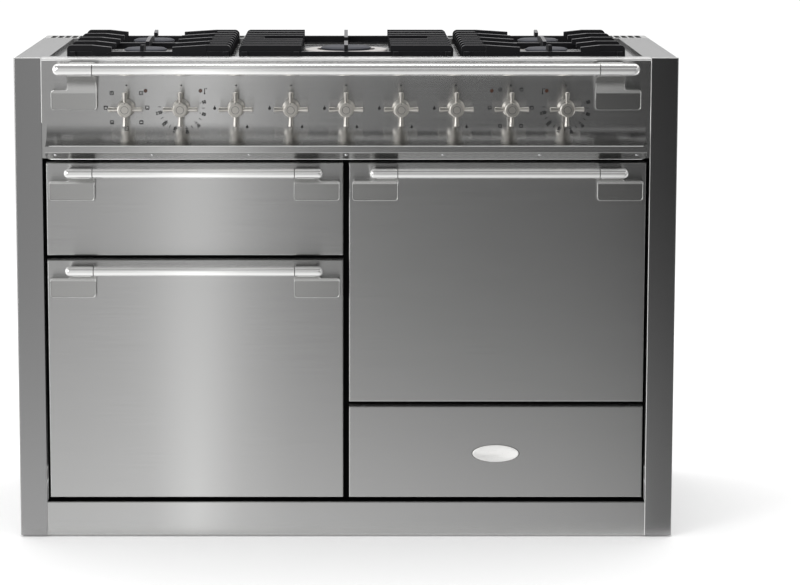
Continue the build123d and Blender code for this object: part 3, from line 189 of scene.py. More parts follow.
# Dark lines for engraving and joints, and also for the painted shadow ring round the drawer plate
ENGRAVED_AND_SHADOW_LINE = finish_material("engraved_and_shadow_line", (0.07, 0.068, 0.065), 0.3, 0.5, vary=0.2, scale=500.0, bump=0.05)
INK = finish_material("sign_ink", (0.012, 0.012, 0.013), 0.0, 0.6, vary=0.2, scale=800.0, bump=0.05)
PLATE = finish_material("bare_plate", (0.93, 0.925, 0.91), 0.35, 0.3, vary=0.03, scale=260.0, bump=0.03,
                        bump_depth=0.0001)
SLOT_MATERIALS = {
    "stainless": STAINLESS, "polished_steel": SATIN_BAR, "satin_nickel": NICKEL, "black_enamel": ENAMEL,
    "zinc_plate": ZINC, "cast_iron": IRON, "cap_enamel": CAP_ENAMEL, "cast_aluminium": CAST_ALLOY,
    "tap_brass": BRASS, "switch_plastic": SWITCH, "lamp_lens": LENS, "seal_rubber": SEAL,
    "foot_rubber": RUBBER, "chrome_wire": CHROME, "element_steel": SHEATH,
}
# The front frame's dull black is painted shade in the door gaps
NODE_MATERIALS = {
    "side_panel_left": SHADED_CHEEK_STAINLESS, "side_panel_right": SHADED_CHEEK_STAINLESS, "hob_tray": SHADED_CHEEK_STAINLESS, "front_frame": GAP_SHADE_BLACK,
    "hand_rail_brackets": BRACKET,
}
for subpart in frame["record"]["subparts"]:
    finish = NODE_MATERIALS.get(subpart["node"], SLOT_MATERIALS[subpart["material_slot"]])
    piece = frame["nodes"][subpart["node"]]
    piece.data.materials.clear()
    piece.data.materials.append(finish)

# The handles' brackets have the panels' brushed finish, and their bars are brighter
BAR_MARGIN = 0.0004
for door in DOORS:
    handle = frame["nodes"][f"{door}_handle"]
    handle.data.materials.append(BRACKET)
    axis_z = bar_height(door)
    for face in handle.data.polygons:
        place = handle.matrix_world @ face.center
        from_axis = math.hypot(place.y - BAR_Y, place.z - axis_z)
        face.material_index = int(from_axis > BAR_RADIUS + BAR_MARGIN)


def finish_tops(piece, material, least_tilt):
    """Give a piece's upward faces, those whose normal's Z is over least_tilt, a second material."""
    piece.data.materials.append(material)
    for face in piece.data.polygons:
        face.material_index = int(face.normal.z > least_tilt)


# The plinth's top faces are painted black: painted shade inside the gap under the doors
LEVEL_TILT = 0.9
finish_tops(frame["nodes"]["plinth"], GAP_SHADE_BLACK, LEVEL_TILT)

# The pan supports are rounded along their edges, and lighter there and on their tops, partly from wear and
# partly as painted highlight
WORN_AND_HIGHLIT_TILT = 0.6
WORN_AND_HIGHLIT_INDEX = 1
CAST_ROUND = 0.0009
CAST_SEGMENTS = 2
CAST_ANGLE = math.radians(40)
CAST_WELD = 0.00002
for name, support in frame["nodes"].items():
    if name.startswith("pan_support"):
        finish_tops(support, WORN_AND_HIGHLIT_IRON, WORN_AND_HIGHLIT_TILT)
        weld = support.modifiers.new("weld", "WELD")
        weld.merge_threshold = CAST_WELD
        rounding = support.modifiers.new("rounding", "BEVEL")
        rounding.width = CAST_ROUND
        rounding.segments = CAST_SEGMENTS
        rounding.limit_method = "ANGLE"
        rounding.angle_limit = CAST_ANGLE
        rounding.material = WORN_AND_HIGHLIT_INDEX

# Shapes of ink, as outlines in X and Z


def disc(x, z, radius, points=20):
    turns = [2 * math.pi * k / points for k in range(points)]
    return [(x + radius * math.sin(turn), z + radius * math.cos(turn)) for turn in turns]


def stroke(start, end, width):
    """A straight bar of ink from start to end."""
    a = Vector(start)
    b = Vector(end)
    side = (b - a).normalized().orthogonal() * width / 2
    return [tuple(a + side), tuple(b + side), tuple(b - side), tuple(a - side)]


def polyline(points, width):
    return [stroke(a, b, width) for a, b in zip(points, points[1:])]


def moved(shapes, x, z, size):
    return [[(x + size * px, z + size * pz) for px, pz in shape] for shape in shapes]


def clock(centre, degrees, radius):
    """A place round a knob, the angle taken clockwise from the top."""
    turn = math.radians(degrees)
    return centre.x + radius * math.sin(turn), centre.z + radius * math.cos(turn)


# Figures and signs, drawn in units of their own size
DIGITS = {
    "0": [(-1, -2), (-1, 2), (1, 2), (1, -2), (-1, -2)],
    "1": [(-0.6, 1.3), (0.2, 2), (0.2, -2)],
    "2": [(-1, 1.4), (-0.5, 2), (0.5, 2), (1, 1.3), (-1, -2), (1, -2)],
    "3": [(-1, 2), (1, 2), (0, 0.4), (1, -0.6), (0.6, -2), (-1, -2)],
    "4": [(0.5, -2), (0.5, 2), (-1, -0.7), (1, -0.7)],
    "5": [(1, 2), (-1, 2), (-1, 0.3), (0.6, 0.3), (1, -0.8), (0.6, -2), (-1, -2)],
    "7": [(-1, 2), (1, 2), (-0.3, -2)],
    "8": [(-0.9, 2), (0.9, 2), (-1, -2), (1, -2), (-0.9, 2)],
}
DIGIT_TALL = 4
DIGIT_STEP = 3.2
DIGIT_STROKE = 1.4
FLAME = [(0, -2), (-1.1, -1.4), (-1.3, -0.4), (-0.5, 0.6), (0, 2.2), (0.6, 0.7), (1.3, -0.3), (1.1, -1.4)]
FRAME_SIGN = polyline([(-1, -1), (-1, 1), (1, 1), (1, -1), (-1, -1)], 0.46)
TOP_BAR = [stroke((-0.7, 0.6), (0.7, 0.6), 0.3)]
LOW_BAR = [stroke((-0.7, -0.6), (0.7, -0.6), 0.3)]
BLADE_TURN = 2.094
FAN_SIGN = [disc(0.32 * math.sin(turn), 0.32 * math.cos(turn), 0.25, 10)
            for turn in (0, BLADE_TURN, 2 * BLADE_TURN)]
WAVE_BAR = polyline([(-0.7, 0.35), (-0.35, 0.7), (0, 0.35), (0.35, 0.7), (0.7, 0.35)], 0.22)
LIGHT_SIGN = [disc(0, 0, 0.4, 12)]
THERMOMETER = [stroke((0, -3), (0, 3), 0.9), disc(0, -3.2, 1.0, 12), disc(2.0, 2.6, 0.8, 12)]

# Signs round the knobs: places as angles in degrees and radii in metres
FUNCTION_KNOB = 0
FUNCTION_SIGNS = [LIGHT_SIGN, LOW_BAR, TOP_BAR + LOW_BAR, FAN_SIGN, FAN_SIGN + LOW_BAR, WAVE_BAR,
                  WAVE_BAR + FAN_SIGN]
FUNCTION_ANGLES = (45, 90, 135, 180, 225, 270, 315)
FUNCTION_RING = 0.038
FUNCTION_SIZE = 0.003
BROILER_KNOB = 7
BROILER_SIGNS = [TOP_BAR, WAVE_BAR, TOP_BAR + LOW_BAR, WAVE_BAR + LOW_BAR, LOW_BAR, FAN_SIGN]
BROILER_ANGLES = (30, 90, 150, 210, 270, 330)
BROILER_RING = 0.0385
BROILER_SIZE = 0.0027
LEFT_TEMPERATURE_KNOB = 1
RIGHT_TEMPERATURE_KNOB = 8
TEMPERATURES = ("50", "80", "110", "140", "170", "200", "230")
FIRST_ANGLE = 76
ANGLE_STEP = 30.2
HALF_STEP = 15
NUMBER_RING = 0.0425
NUMBER_HEIGHT = 0.0046
NUMBER_TICK = (0.0345, 0.0372)
HALF_TICK = (0.0375, 0.0425)
TICK_WIDTH = 0.0011
THERMOMETER_SIDE = 0.0425
THERMOMETER_RISE = 0.031
THERMOMETER_SIZE = 0.0015
FLAME_RING = 0.0395
FULL_FLAME = (270, 0.0021)
LOW_FLAME = (150, 0.0018)
OFF_DOT_RING = 0.041
OFF_DOT_RADIUS = 0.0015


def number(text, centre, degrees, radius, height):
    """The digits of a number, written along the radius and never upside down."""
    size = height / DIGIT_TALL
    turn = math.radians(degrees)
    outward = Vector((math.sin(turn), math.cos(turn)))
    along = outward if degrees < 180 else -outward
    upward = Vector((-along.y, along.x))
    middle = Vector(clock(centre, degrees, radius))
    shapes = []
    for k, figure in enumerate(text):
        shift = (k - (len(text) - 1) / 2) * DIGIT_STEP
        for shape in polyline(DIGITS[figure], DIGIT_STROKE):
            shapes.append([tuple(middle + size * ((px + shift) * along + pz * upward)) for px, pz in shape])
    return shapes


def tick(centre, degrees, radii):
    return stroke(*(clock(centre, degrees, radius) for radius in radii), TICK_WIDTH)


def sign_ring(centre, signs, angles, radius, size):
    shapes = []
    for sign, angle in zip(signs, angles):
        shapes += moved(FRAME_SIGN + sign, *clock(centre, angle, radius), size)
    return shapes


def temperature_ring(centre):
    """Numbers with ticks between them, from three o'clock round the bottom to nine o'clock."""
    shapes = []
    for k, label in enumerate(TEMPERATURES):
        angle = FIRST_ANGLE + ANGLE_STEP * k
        shapes += number(label, centre, angle, NUMBER_RING, NUMBER_HEIGHT)
        shapes.append(tick(centre, angle, NUMBER_TICK))
        shapes.append(tick(centre, angle + HALF_STEP, HALF_TICK))
    return shapes


def knob_signs(index):
    centre = KNOB_CENTRES[index]
    shapes = [disc(*clock(centre, 0, OFF_DOT_RING), OFF_DOT_RADIUS)]
    if index == FUNCTION_KNOB:
        shapes += sign_ring(centre, FUNCTION_SIGNS, FUNCTION_ANGLES, FUNCTION_RING, FUNCTION_SIZE)
    elif index in (LEFT_TEMPERATURE_KNOB, RIGHT_TEMPERATURE_KNOB):
        shapes += temperature_ring(centre)
        toward_lamp = 1 if index == LEFT_TEMPERATURE_KNOB else -1
        shapes += moved(THERMOMETER, centre.x + toward_lamp * THERMOMETER_SIDE, centre.z + THERMOMETER_RISE,
                        THERMOMETER_SIZE)
    elif index == BROILER_KNOB:
        shapes += sign_ring(centre, BROILER_SIGNS, BROILER_ANGLES, BROILER_RING, BROILER_SIZE)
    else:
        for angle, size in (FULL_FLAME, LOW_FLAME):
            shapes += moved([FLAME], *clock(centre, angle, FLAME_RING), size)
    return shapes


# Meshes of the added pieces

INK_LIFT = 0.0002
TUBE_ROUNDNESS = 2
LIP_HEIGHT = 0.027
LIP_TOP = FASCIA_LOW.z + LIP_HEIGHT
SCOOP_RADIUS = FRONT_Y - FASCIA_LOW.y
SCOOP_TOP = LIP_TOP + SCOOP_RADIUS


def new_piece(name, mesh, material, body):
    piece = bpy.data.objects.new(name, mesh)
    bpy.context.scene.collection.objects.link(piece)
    mesh.materials.append(material)
    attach(piece, body)


def fascia_y(z):
    """Depth of the fascia's face at a height, where the scoop starts to curve forward."""
    drop = max(0.0, SCOOP_TOP - z)
    return FASCIA_LOW.y + math.sqrt(max(0.0, SCOOP_RADIUS ** 2 - drop ** 2))


def ink_mesh(name, shapes, depth):
    """Flat shapes of ink, just before a face whose depth is a function of the height."""
    points = []
    faces = []
    for shape in shapes:
        faces.append(tuple(range(len(points), len(points) + len(shape))))
        points += [(px, depth(pz) - INK_LIFT, pz) for px, pz in shape]
    mesh = bpy.data.meshes.new(name)
    mesh.from_pydata(points, [], faces)
    return mesh


def turned_mesh(name, profile, seats, ratio=1.0, points=32):
    """Round bodies on (place, axis) seats, one ring for each (radius, height along the axis).

    A ratio other than 1 makes them oval."""
    turns = [2 * math.pi * k / points for k in range(points)]
    vertices = []
    faces = []
    for place, direction in seats:
        axis = Vector(direction).normalized()
        across = Vector((0, 1, 0)) if abs(axis.y) < 0.1 else Vector((1, 0, 0))
        upright = axis.cross(across)
        base = len(vertices)
        for radius, height in profile:
            vertices += [Vector(place) + axis * height + across * radius * math.cos(turn)
                         + upright * radius * ratio * math.sin(turn) for turn in turns]
        for ring in range(len(profile) - 1):
            for k in range(points):
                a = base + ring * points + k
                b = base + ring * points + (k + 1) % points
                faces.append((a, b, b + points, a + points))
        last = base + (len(profile) - 1) * points
        faces.append(tuple(range(last, last + points)))
    mesh = bpy.data.meshes.new(name)
    mesh.from_pydata(vertices, [], faces)
    mesh.polygons.foreach_set("use_smooth", [True] * len(mesh.polygons))
    return mesh


def tube_mesh(name, paths, radius, closed):
    """Thin tubes along lists of places."""
    curve = bpy.data.curves.new(name, "CURVE")
    curve.dimensions = "3D"
    curve.bevel_depth = radius
    curve.bevel_resolution = TUBE_ROUNDNESS
    for places in paths:
        spline = curve.splines.new("POLY")
        spline.points.add(len(places) - 1)
        for point, place in zip(spline.points, places):
            point.co = (*place, 1)
        spline.use_cyclic_u = closed
    holder = bpy.data.objects.new(name, curve)
    mesh = bpy.data.meshes.new_from_object(holder)
    bpy.data.objects.remove(holder)
    bpy.data.curves.remove(curve)
    mesh.name = name
    return mesh


# Printed signs on the fascia
all_signs = [shape for index in range(KNOB_COUNT) for shape in knob_signs(index)]
new_piece("fascia_signs", ink_mesh("fascia_signs", all_signs, fascia_y), INK, "cabinet")

# Seven domed screws along the sloping band under the lip
BAND_HEIGHT = 0.014
BAND_DEPTH = 0.022
BAND_TOP = Vector((0, FASCIA_LOW.y, FASCIA_LOW.z + BAND_HEIGHT))
BAND_FOOT = Vector((0, FASCIA_LOW.y + BAND_DEPTH, FASCIA_LOW.z))
BAND_OUT = (BAND_FOOT - BAND_TOP).cross(Vector(ALONG_X)).normalized()
SCREW_SPACING = 0.1766
SCREWS_EACH_SIDE = 3
SCREW_DROP = 0.36
SCREW_ROUND = [(0.0034, -0.0002), (0.0034, 0.0003), (0.003, 0.0009), (0.0021, 0.0014), (0.001, 0.0016)]
screw_line = BAND_TOP.lerp(BAND_FOOT, SCREW_DROP)
screw_seats = [(screw_line + Vector((k * SCREW_SPACING, 0, 0)), BAND_OUT)
               for k in range(-SCREWS_EACH_SIDE, SCREWS_EACH_SIDE + 1)]
screws = turned_mesh("lip_screws", SCREW_ROUND, screw_seats, points=20)
new_piece("lip_screws", screws, CHROME, "cabinet")

# A thin bright bead along the lip's lower edge, a painted highlight
BEAD_RADIUS = 0.0008
BEAD_INSET = 0.016
BEAD_LENGTH = FASCIA_HIGH.x - FASCIA_LOW.x - 2 * BEAD_INSET
BEAD = [(BEAD_RADIUS / 3, 0), (BEAD_RADIUS, BEAD_RADIUS), (BEAD_RADIUS, BEAD_LENGTH - BEAD_RADIUS),
        (BEAD_RADIUS / 3, BEAD_LENGTH)]
bead_seat = (BAND_FOOT + Vector((FASCIA_LOW.x + BEAD_INSET, 0, 0)), ALONG_X)
bead = turned_mesh("lip_highlight_bead", BEAD, [bead_seat], points=16)
new_piece("lip_highlight_bead", bead, EDGE_HIGHLIGHT_STEEL, "cabinet")

# A bare oval plate on the drawer, with a raised rim, and round it a thin dark ring of painted shadow
PLATE_SEAT = ((0.278, FRONT_Y, 0.159), TO_FRONT)
PLATE_RATIO = 0.37
PLATE_POINTS = 64
PLATE_ROUND = [(0.043, 0.0001), (0.043, 0.0014), (0.042, 0.0022), (0.0405, 0.0022), (0.0395, 0.0016)]
# Profile of the dark ring round the plate, which is painted shadow
PLATE_SHADOW_ROUND = [(0.0445, -0.0002), (0.0445, 0.0003), (0.0438, 0.0006), (0.042, 0.0006)]
for name, profile, material, slot in (("drawer_plate_shadow_ring", PLATE_SHADOW_ROUND, ENGRAVED_AND_SHADOW_LINE, "switch_plastic"),
                                      ("drawer_plate", PLATE_ROUND, PLATE, "polished_steel")):
    oval = turned_mesh(name, profile, [PLATE_SEAT], PLATE_RATIO, PLATE_POINTS)
    new_piece(name, oval, material, "drawer")

# Barrels on the knobs' spokes, and the engraved ring and index dot on each hub
SPOKE_REACH = 0.037
SPOKE_Y = FRONT_Y - SPOKE_REACH
SPOKES = ((1, 0, 0), (-1, 0, 0), (0, 0, 1), (0, 0, -1))
BARREL = [(0.0026, 0.0135), (0.0029, 0.016), (0.0036, 0.0185), (0.0039, 0.024), (0.0041, 0.0285),
          (0.0038, 0.0305), (0.0028, 0.0313)]
CAP_RADIUS = 0.0097
CAP_STEP = 0.002
RING_RADIUS = 0.0068
RING_WIDTH = 0.0006
RING_STEP = 15
INDEX_RING = 0.0115
INDEX_RADIUS = 0.0009
for index, centre in enumerate(KNOB_CENTRES):
    name = f"knob_{index + 1}"
    hub_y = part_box(name)[0].y
    spoke_middle = Vector((centre.x, SPOKE_Y, centre.z))
    barrels = turned_mesh(f"{name}_barrels", BARREL, [(spoke_middle, spoke) for spoke in SPOKES], points=24)
    new_piece(f"{name}_barrels", barrels, NICKEL, name)
    ring = [clock(centre, angle, RING_RADIUS) for angle in range(0, 360 + RING_STEP, RING_STEP)]
    engraved = polyline(ring, RING_WIDTH)
    engraved.append(disc(*clock(centre, 0, INDEX_RING), INDEX_RADIUS))
    cap_top = centre.z + CAP_RADIUS
    mark = ink_mesh(f"{name}_mark", engraved, lambda z: hub_y if z < cap_top else hub_y + CAP_STEP)
    new_piece(f"{name}_mark", mark, ENGRAVED_AND_SHADOW_LINE, name)

# Dark joint rings where the end sleeves meet the bars
RAIL_SLEEVE = 0.072
BAR_SLEEVE = 0.089
JOINT_ROUND = [(-0.0002, -0.0007), (0.0001, -0.0006), (0.0001, 0.0006), (-0.0002, 0.0007)]


def joint_rings(name, places, y, z, radius, body):
    """Rings round a bar along X, one at each of the given places in X."""
    profile = [(radius + proud, along) for proud, along in JOINT_ROUND]
    rings = turned_mesh(name, profile, [((x, y, z), ALONG_X) for x in places], points=40)
    new_piece(name, rings, ENGRAVED_AND_SHADOW_LINE, body)


rail_places = (RAIL_LOW.x + RAIL_SLEEVE, RAIL_HIGH.x - RAIL_SLEEVE)
rail_middle = (RAIL_LOW + RAIL_HIGH) / 2
joint_rings("rail_joints", rail_places, rail_middle.y, rail_middle.z, RAIL_RADIUS, "cabinet")
for door in DOORS:
    skin_low, skin_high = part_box(f"{door}_skin")
    joint_rings(f"{door}_handle_joints", (skin_low.x + BAR_SLEEVE, skin_high.x - BAR_SLEEVE), BAR_Y,
                bar_height(door), BAR_RADIUS, door)

# Rims round the faces of the brackets, in a steel lighter than the brackets': painted highlight on their
# rounded edges
RIM_RADIUS = 0.0009
RIM_INSET = 0.0013
RIM_PIECE = 0.002
CORNER_STEPS = 6
SWEEP_STEPS = 20
SWEEP_START = 0.0065
BRACKET_INSET = 0.006
BRACKET_WIDTH = 0.085
BRACKET_HEIGHT = 0.038
BRACKET_DEPTH = 0.013
BRACKET_FACE = FRONT_Y - BRACKET_DEPTH
BRACKET_ROUND = 0.006
BRACKET_BOW = 0.004
BAR_NECK = {"neck_width": 0.047, "neck_rise": 0.0165}
RAIL_NECK = {"neck_width": 0.054, "neck_rise": 0.039}


def quadratic(start, bend, end, steps):
    """Places along a curve from start to end, drawn towards bend."""
    shares = [k / steps for k in range(steps + 1)]
    return [start.lerp(bend, share).lerp(bend.lerp(end, share), share) for share in shares]


def rounded_outline(corners, radius):
    """A closed outline through the corners, each rounded off, in pieces of a few millimetres."""
    rounded = []
    for before, corner, after in zip(corners[-1:] + corners[:-1], corners, corners[1:] + corners[:1]):
        start = corner + (before - corner).normalized() * radius
        end = corner + (after - corner).normalized() * radius
        rounded += quadratic(start, corner, end, CORNER_STEPS)
    outline = []
    for a, b in zip(rounded, rounded[1:] + rounded[:1]):
        pieces = max(1, round((b - a).length / RIM_PIECE))
        outline += [a.lerp(b, k / pieces) for k in range(pieces)]
    return outline


def bracket_rim(outer, side, bar_y, bar_z, bar_radius, neck_width, neck_rise):
    """The edge of a bracket's face: flat round the foot, and bent out to the bar along the neck."""
    foot_top = bar_z - neck_rise
    start = Vector((BRACKET_FACE, foot_top - SWEEP_START))
    end = Vector((bar_y, bar_z - bar_radius))
    bend = (start + end) / 2 + 2 * Vector((BRACKET_BOW, BRACKET_BOW))
    sweep = quadratic(start, bend, end, SWEEP_STEPS)
    out = outer - side * RIM_INSET
    inner = outer - side * (BRACKET_WIDTH - RIM_INSET)
    step = outer - side * (BRACKET_WIDTH - neck_width + RIM_INSET)
    low = foot_top - BRACKET_HEIGHT + RIM_INSET
    shoulder = foot_top - RIM_INSET
    corners = [(out, low), (inner, low), (inner, end.y), (step, end.y), (step, shoulder), (out, shoulder)]
    rim = []
    for place in rounded_outline([Vector(corner) for corner in corners], BRACKET_ROUND):
        behind = [point.x for point in sweep if point.y <= place.y]
        rim.append((place.x, behind[-1] if behind else BRACKET_FACE, place.y))
    return rim


def bracket_rims(name, outer_left, outer_right, bar_y, bar_z, bar_radius, neck, body):
    rims = [bracket_rim(outer, side, bar_y, bar_z, bar_radius, **neck)
            for outer, side in ((outer_left, -1), (outer_right, 1))]
    new_piece(name, tube_mesh(name, rims, RIM_RADIUS, True), RIM_HIGHLIGHT_STEEL, body)


for door in DOORS:
    skin_low, skin_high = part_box(f"{door}_skin")
    bracket_rims(f"{door}_handle_rims", skin_low.x + BRACKET_INSET, skin_high.x - BRACKET_INSET, BAR_Y,
                 bar_height(door), BAR_RADIUS, BAR_NECK, door)
bracket_low, bracket_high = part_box("hand_rail_brackets")
bracket_rims("rail_bracket_rims", bracket_low.x, bracket_high.x, RAIL_LOW.y + RAIL_RADIUS,
             RAIL_LOW.z + RAIL_RADIUS, RAIL_RADIUS, RAIL_NECK, "cabinet")

# Painted highlights: bright lines along the cabinet's front edges and the lip's top
LINE_RADIUS = 0.0008
LIP_LINE_Y = FASCIA_LOW.y + LINE_RADIUS
LIP_LINE_Z = LIP_TOP - LINE_RADIUS
left_low, left_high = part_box("side_panel_left")
right_low, right_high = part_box("side_panel_right")
edges = [
    [(left_low.x, FRONT_Y, left_high.z), (left_high.x, FRONT_Y, left_high.z)],
    [(right_low.x, FRONT_Y, right_high.z), (right_high.x, FRONT_Y, right_high.z)],
    [(right_low.x, FRONT_Y, right_low.z), (right_low.x, FRONT_Y, right_high.z)],
    [(FASCIA_LOW.x, FRONT_Y, SCOOP_TOP), (FASCIA_LOW.x, FRONT_Y, FASCIA_HIGH.z)],
    [(x, LIP_LINE_Y, LIP_LINE_Z) for x in (FASCIA_LOW.x + BEAD_INSET, FASCIA_HIGH.x - BEAD_INSET)],
]
edge_highlight_lines = tube_mesh("front_edge_highlights", edges, LINE_RADIUS, False)
new_piece("front_edge_highlights", edge_highlight_lines, EDGE_HIGHLIGHT_STEEL, "cabinet")

# A round nosing along the hob's front edge, in the bright edge steel that paints a highlight on it
NOSING_RADIUS = 0.003
NOSING_PROUD = 0.001
NOSING_Y = FRONT_Y + NOSING_RADIUS - NOSING_PROUD
NOSING_Z = FASCIA_HIGH.z - NOSING_RADIUS
NOSING_ENDS = [(x, NOSING_Y, NOSING_Z) for x in (FASCIA_LOW.x, FASCIA_HIGH.x)]
nosing = tube_mesh("hob_nosing_highlight", [NOSING_ENDS], NOSING_RADIUS, False)
new_piece("hob_nosing_highlight", nosing, EDGE_HIGHLIGHT_STEEL, "cabinet")

# Studio: a pale floor that runs out of sight, a pale sky, cards seen only as reflections, soft lamps

CAMERA_DISTANCE = 5.4
FLOOR_COLOUR = (0.91, 0.91, 0.91)
FLOOR_GLOW = 0.13
FLOOR_HALF = 40.0
SKY_LEVEL = 1.0
WHITE = (1, 1, 1, 1)


def stage_mesh(name, points, faces, material):
    mesh = bpy.data.meshes.new(name)
    mesh.from_pydata(points, [], faces)
    mesh.materials.append(material)
    made = bpy.data.objects.new(name, mesh)
    bpy.context.scene.collection.objects.link(made)
    return made


def seen_directly(tree):
    """1 for camera, glossy and transmission rays, so that metal shows the same floor as the camera."""
    path = add_node(tree, "ShaderNodeLightPath").outputs
    either = add_math(tree, "MAXIMUM", path["Is Camera Ray"], path["Is Glossy Ray"])
    return add_math(tree, "MAXIMUM", either, path["Is Transmission Ray"])


def pale_floor():
    material = finish_material("pale_floor", FLOOR_COLOUR, 0.0, 0.6, vary=0.01, scale=3.0, bump=0.0,
                               specular=0.0)
    tree = material.node_tree
    shader = tree.nodes["Principled BSDF"]
    shader.inputs["Emission Color"].default_value = WHITE
    tree.links.new(spread(tree, seen_directly(tree), 0.0, FLOOR_GLOW), shader.inputs["Emission Strength"])
    corners = [(x * FLOOR_HALF, y * FLOOR_HALF, 0) for x, y in ((-1, -1), (1, -1), (1, 1), (-1, 1))]
    stage_mesh("floor", corners, [(0, 1, 2, 3)], material)


def pale_sky():
    world = bpy.data.worlds.new("studio")
    bpy.context.scene.world = world
    world.use_nodes = True
    sky = world.node_tree.nodes["Background"]
    sky.inputs["Color"].default_value = WHITE
    sky.inputs["Strength"].default_value = SKY_LEVEL


# Brightness of the shaded cards, by the place in X on the object's front that mirrors them to the camera
NEAR_LEVELS = [(-0.8, 0.85), (-0.5, 0.9), (-0.36, 0.95), (-0.28, 1.25), (-0.2, 0.95), (-0.1, 0.82),
               (0.1, 0.75), (0.4, 0.63), (0.55, 0.53), (0.575, 0.4), (0.8, 0.3)]
FAR_LEVELS = [(-0.8, 0.22), (-0.56, 0.28), (-0.38, 0.38), (-0.28, 1.2), (-0.18, 0.36), (-0.11, 0.18),
              (-0.03, 0.09), (0.05, 0.04), (0.17, 0.015), (0.34, 0.005), (0.5, 0.0), (0.56, 0.0), (0.6, 0.0)]
STRIP_LEVELS = [(-0.8, 0.55), (-0.56, 0.6), (-0.38, 0.65), (-0.28, 1.2), (-0.18, 0.62), (-0.11, 0.45),
                (-0.03, 0.38), (0.1, 0.28), (0.34, 0.17), (0.5, 0.12), (0.55, 0.1), (0.575, 0.0), (0.8, 0.0)]
TOP_LEVEL = 2.0
RAMP_HALF = 1.0
NEAR_DEPTH = 0.4
FAR_DEPTH = 3.4

# Places of the wide cards as (y, z), and the reach of the side cards
CARD_HALF = 6.0
MAT_SWEEP = [(-0.31, 0.002), (-7.4, 0.002)]
STRIP_SWEEP = [(-7.4, 0.002), (-7.4, 2.6)]
CEILING_SWEEP = [(-7.4, 2.6), (-6.8, 5.4), (1.0, 5.6)]
HIGH_SWEEP = [(-6.0, 3.1), (-6.0, 5.4)]
OVER_SWEEP = [(-1.2, 5.0), (0.6, 5.0)]
BACK_SWEEP = [(3.0, 0.9), (3.0, 2.2)]
SIDE_X = 4.5
SIDE_FRONT = -5.0
SIDE_BACK = 3.0
SIDE_TOP = 3.2


def level_ramp(tree, factor, levels):
    """Levels up to TOP_LEVEL along X, as shares of it, because a ramp's colours stop at 1."""
    made = add_node(tree, "ShaderNodeValToRGB", Fac=factor)
    stops = made.color_ramp.elements
    for x, level in levels:
        stop = stops.new((x + RAMP_HALF) / (2 * RAMP_HALF))
        stop.color = (*[level / TOP_LEVEL] * 3, 1)
    stops[0].color = stops[1].color
    stops[-1].color = stops[-2].color
    return made.outputs["Color"]


def glowing_card(name, points, faces, material, **glow_inputs):
    """A card that gives light only to mirrored rays."""
    tree = material.node_tree
    glow = add_node(tree, "ShaderNodeEmission", **glow_inputs)
    tree.links.new(glow.outputs["Emission"], tree.nodes["Material Output"].inputs["Surface"])
    tree.nodes.remove(tree.nodes["Principled BSDF"])
    card = stage_mesh(name, points, faces, material)
    card.visible_camera = False
    card.visible_diffuse = False
    card.visible_shadow = False


def wide_sweep(sweep):
    """Corners and faces of a card swept along X through the given (y, z) places."""
    points = [(side * CARD_HALF, y, z) for y, z in sweep for side in (-1, 1)]
    faces = [(2 * k, 2 * k + 1, 2 * k + 3, 2 * k + 2) for k in range(len(sweep) - 1)]
    return points, faces


def shaded_card(name, sweep, far_levels, near_levels, strength):
    """A wide card, bright on the left and dark on the right."""
    material = new_material(name)[0]
    tree = material.node_tree
    coordinates = add_node(tree, "ShaderNodeTexCoord")
    parts = add_node(tree, "ShaderNodeSeparateXYZ", Vector=coordinates.outputs["Object"])
    depth = add_node(tree, "ShaderNodeMapRange", {"clamp": False}, Value=parts.outputs["Y"], From_Min=FRONT_Y,
                     From_Max=FRONT_Y - 1, To_Min=CAMERA_DISTANCE, To_Max=CAMERA_DISTANCE + 1)
    slope = add_math(tree, "DIVIDE", parts.outputs["X"], depth.outputs["Result"])
    along = add_node(tree, "ShaderNodeMapRange", Value=slope, From_Min=-RAMP_HALF / CAMERA_DISTANCE,
                     From_Max=RAMP_HALF / CAMERA_DISTANCE).outputs["Result"]
    nearness = add_node(tree, "ShaderNodeMapRange", Value=parts.outputs["Y"], From_Min=FRONT_Y - FAR_DEPTH,
                        From_Max=FRONT_Y - NEAR_DEPTH).outputs["Result"]
    level = add_node(tree, "ShaderNodeMixRGB", Fac=nearness, Color1=level_ramp(tree, along, far_levels),
                     Color2=level_ramp(tree, along, near_levels))
    glowing_card(name, *wide_sweep(sweep), material, Color=level.outputs["Color"],
                 Strength=TOP_LEVEL * strength)


def even_card(name, points, faces, strength):
    glowing_card(name, points, faces, new_material(name)[0], Strength=strength)


def side_card(name, x, strength):
    corners = [(x, SIDE_FRONT, 0.0), (x, SIDE_BACK, 0.0), (x, SIDE_BACK, SIDE_TOP), (x, SIDE_FRONT, SIDE_TOP)]
    even_card(name, corners, [(0, 1, 2, 3)], strength)


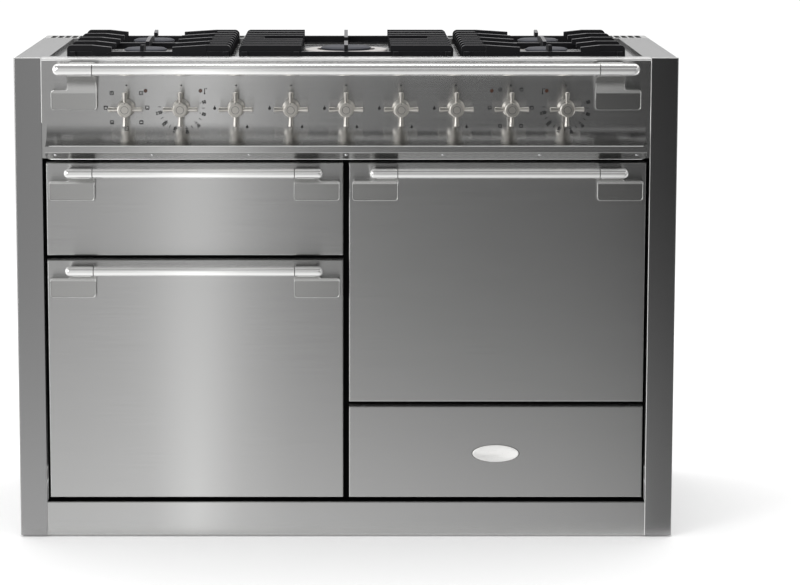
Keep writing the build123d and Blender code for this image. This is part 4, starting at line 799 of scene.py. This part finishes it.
def soft_lamp(name, place, target, width, height, power):
    data = bpy.data.lights.new(name, "AREA")
    data.shape = "RECTANGLE"
    data.size = width
    data.size_y = height
    data.energy = power
    lamp = bpy.data.objects.new(name, data)
    lamp.location = place
    lamp.rotation_euler = (Vector(target) - Vector(place)).to_track_quat("-Z", "Y").to_euler()
    bpy.context.scene.collection.objects.link(lamp)


pale_floor()
pale_sky()
shaded_card("front_mat", MAT_SWEEP, FAR_LEVELS, NEAR_LEVELS, strength=1.0)
shaded_card("bright_strip", STRIP_SWEEP, STRIP_LEVELS, STRIP_LEVELS, strength=1.0)
shaded_card("dark_ceiling", CEILING_SWEEP, FAR_LEVELS, FAR_LEVELS, strength=0.5)
side_card("left_card", -SIDE_X, strength=1.7)
side_card("right_card", SIDE_X, strength=0.3)
even_card("high_card", *wide_sweep(HIGH_SWEEP), strength=0.38)
even_card("over_card", *wide_sweep(OVER_SWEEP), strength=0.38)
even_card("back_card", *wide_sweep(BACK_SWEEP), strength=0.7)
soft_lamp("key_left", place=(-3.2, -4.0, 2.6), target=(0, 0, 0.45), width=1.6, height=3.0, power=60)
soft_lamp("top_back", place=(0.0, 1.4, 4.0), target=(0, 0.2, 0.9), width=4.0, height=1.6, power=45)

# Camera at the photograph's place, with the object left of the middle of the frame
CAMERA_HEIGHT = 1.298
CAMERA_TILT = 0.1455
CAMERA_LENS = 133.2
CAMERA_SENSOR = 36.0
CAMERA_SHIFT = (0.0674, -0.03)
CAMERA_REACH = 200.0
camera_data = bpy.data.cameras.new("camera")
camera_data.sensor_width = CAMERA_SENSOR
camera_data.lens = CAMERA_LENS
camera_data.shift_x, camera_data.shift_y = CAMERA_SHIFT
camera_data.clip_end = CAMERA_REACH
camera = bpy.data.objects.new("camera", camera_data)
camera.location = (0.0, FRONT_Y - CAMERA_DISTANCE, CAMERA_HEIGHT)
camera.rotation_euler = (math.pi / 2 - CAMERA_TILT, 0.0, 0.0)
bpy.context.scene.collection.objects.link(camera)
bpy.context.scene.camera = camera
bpy.context.scene.view_settings.view_transform = "Standard"
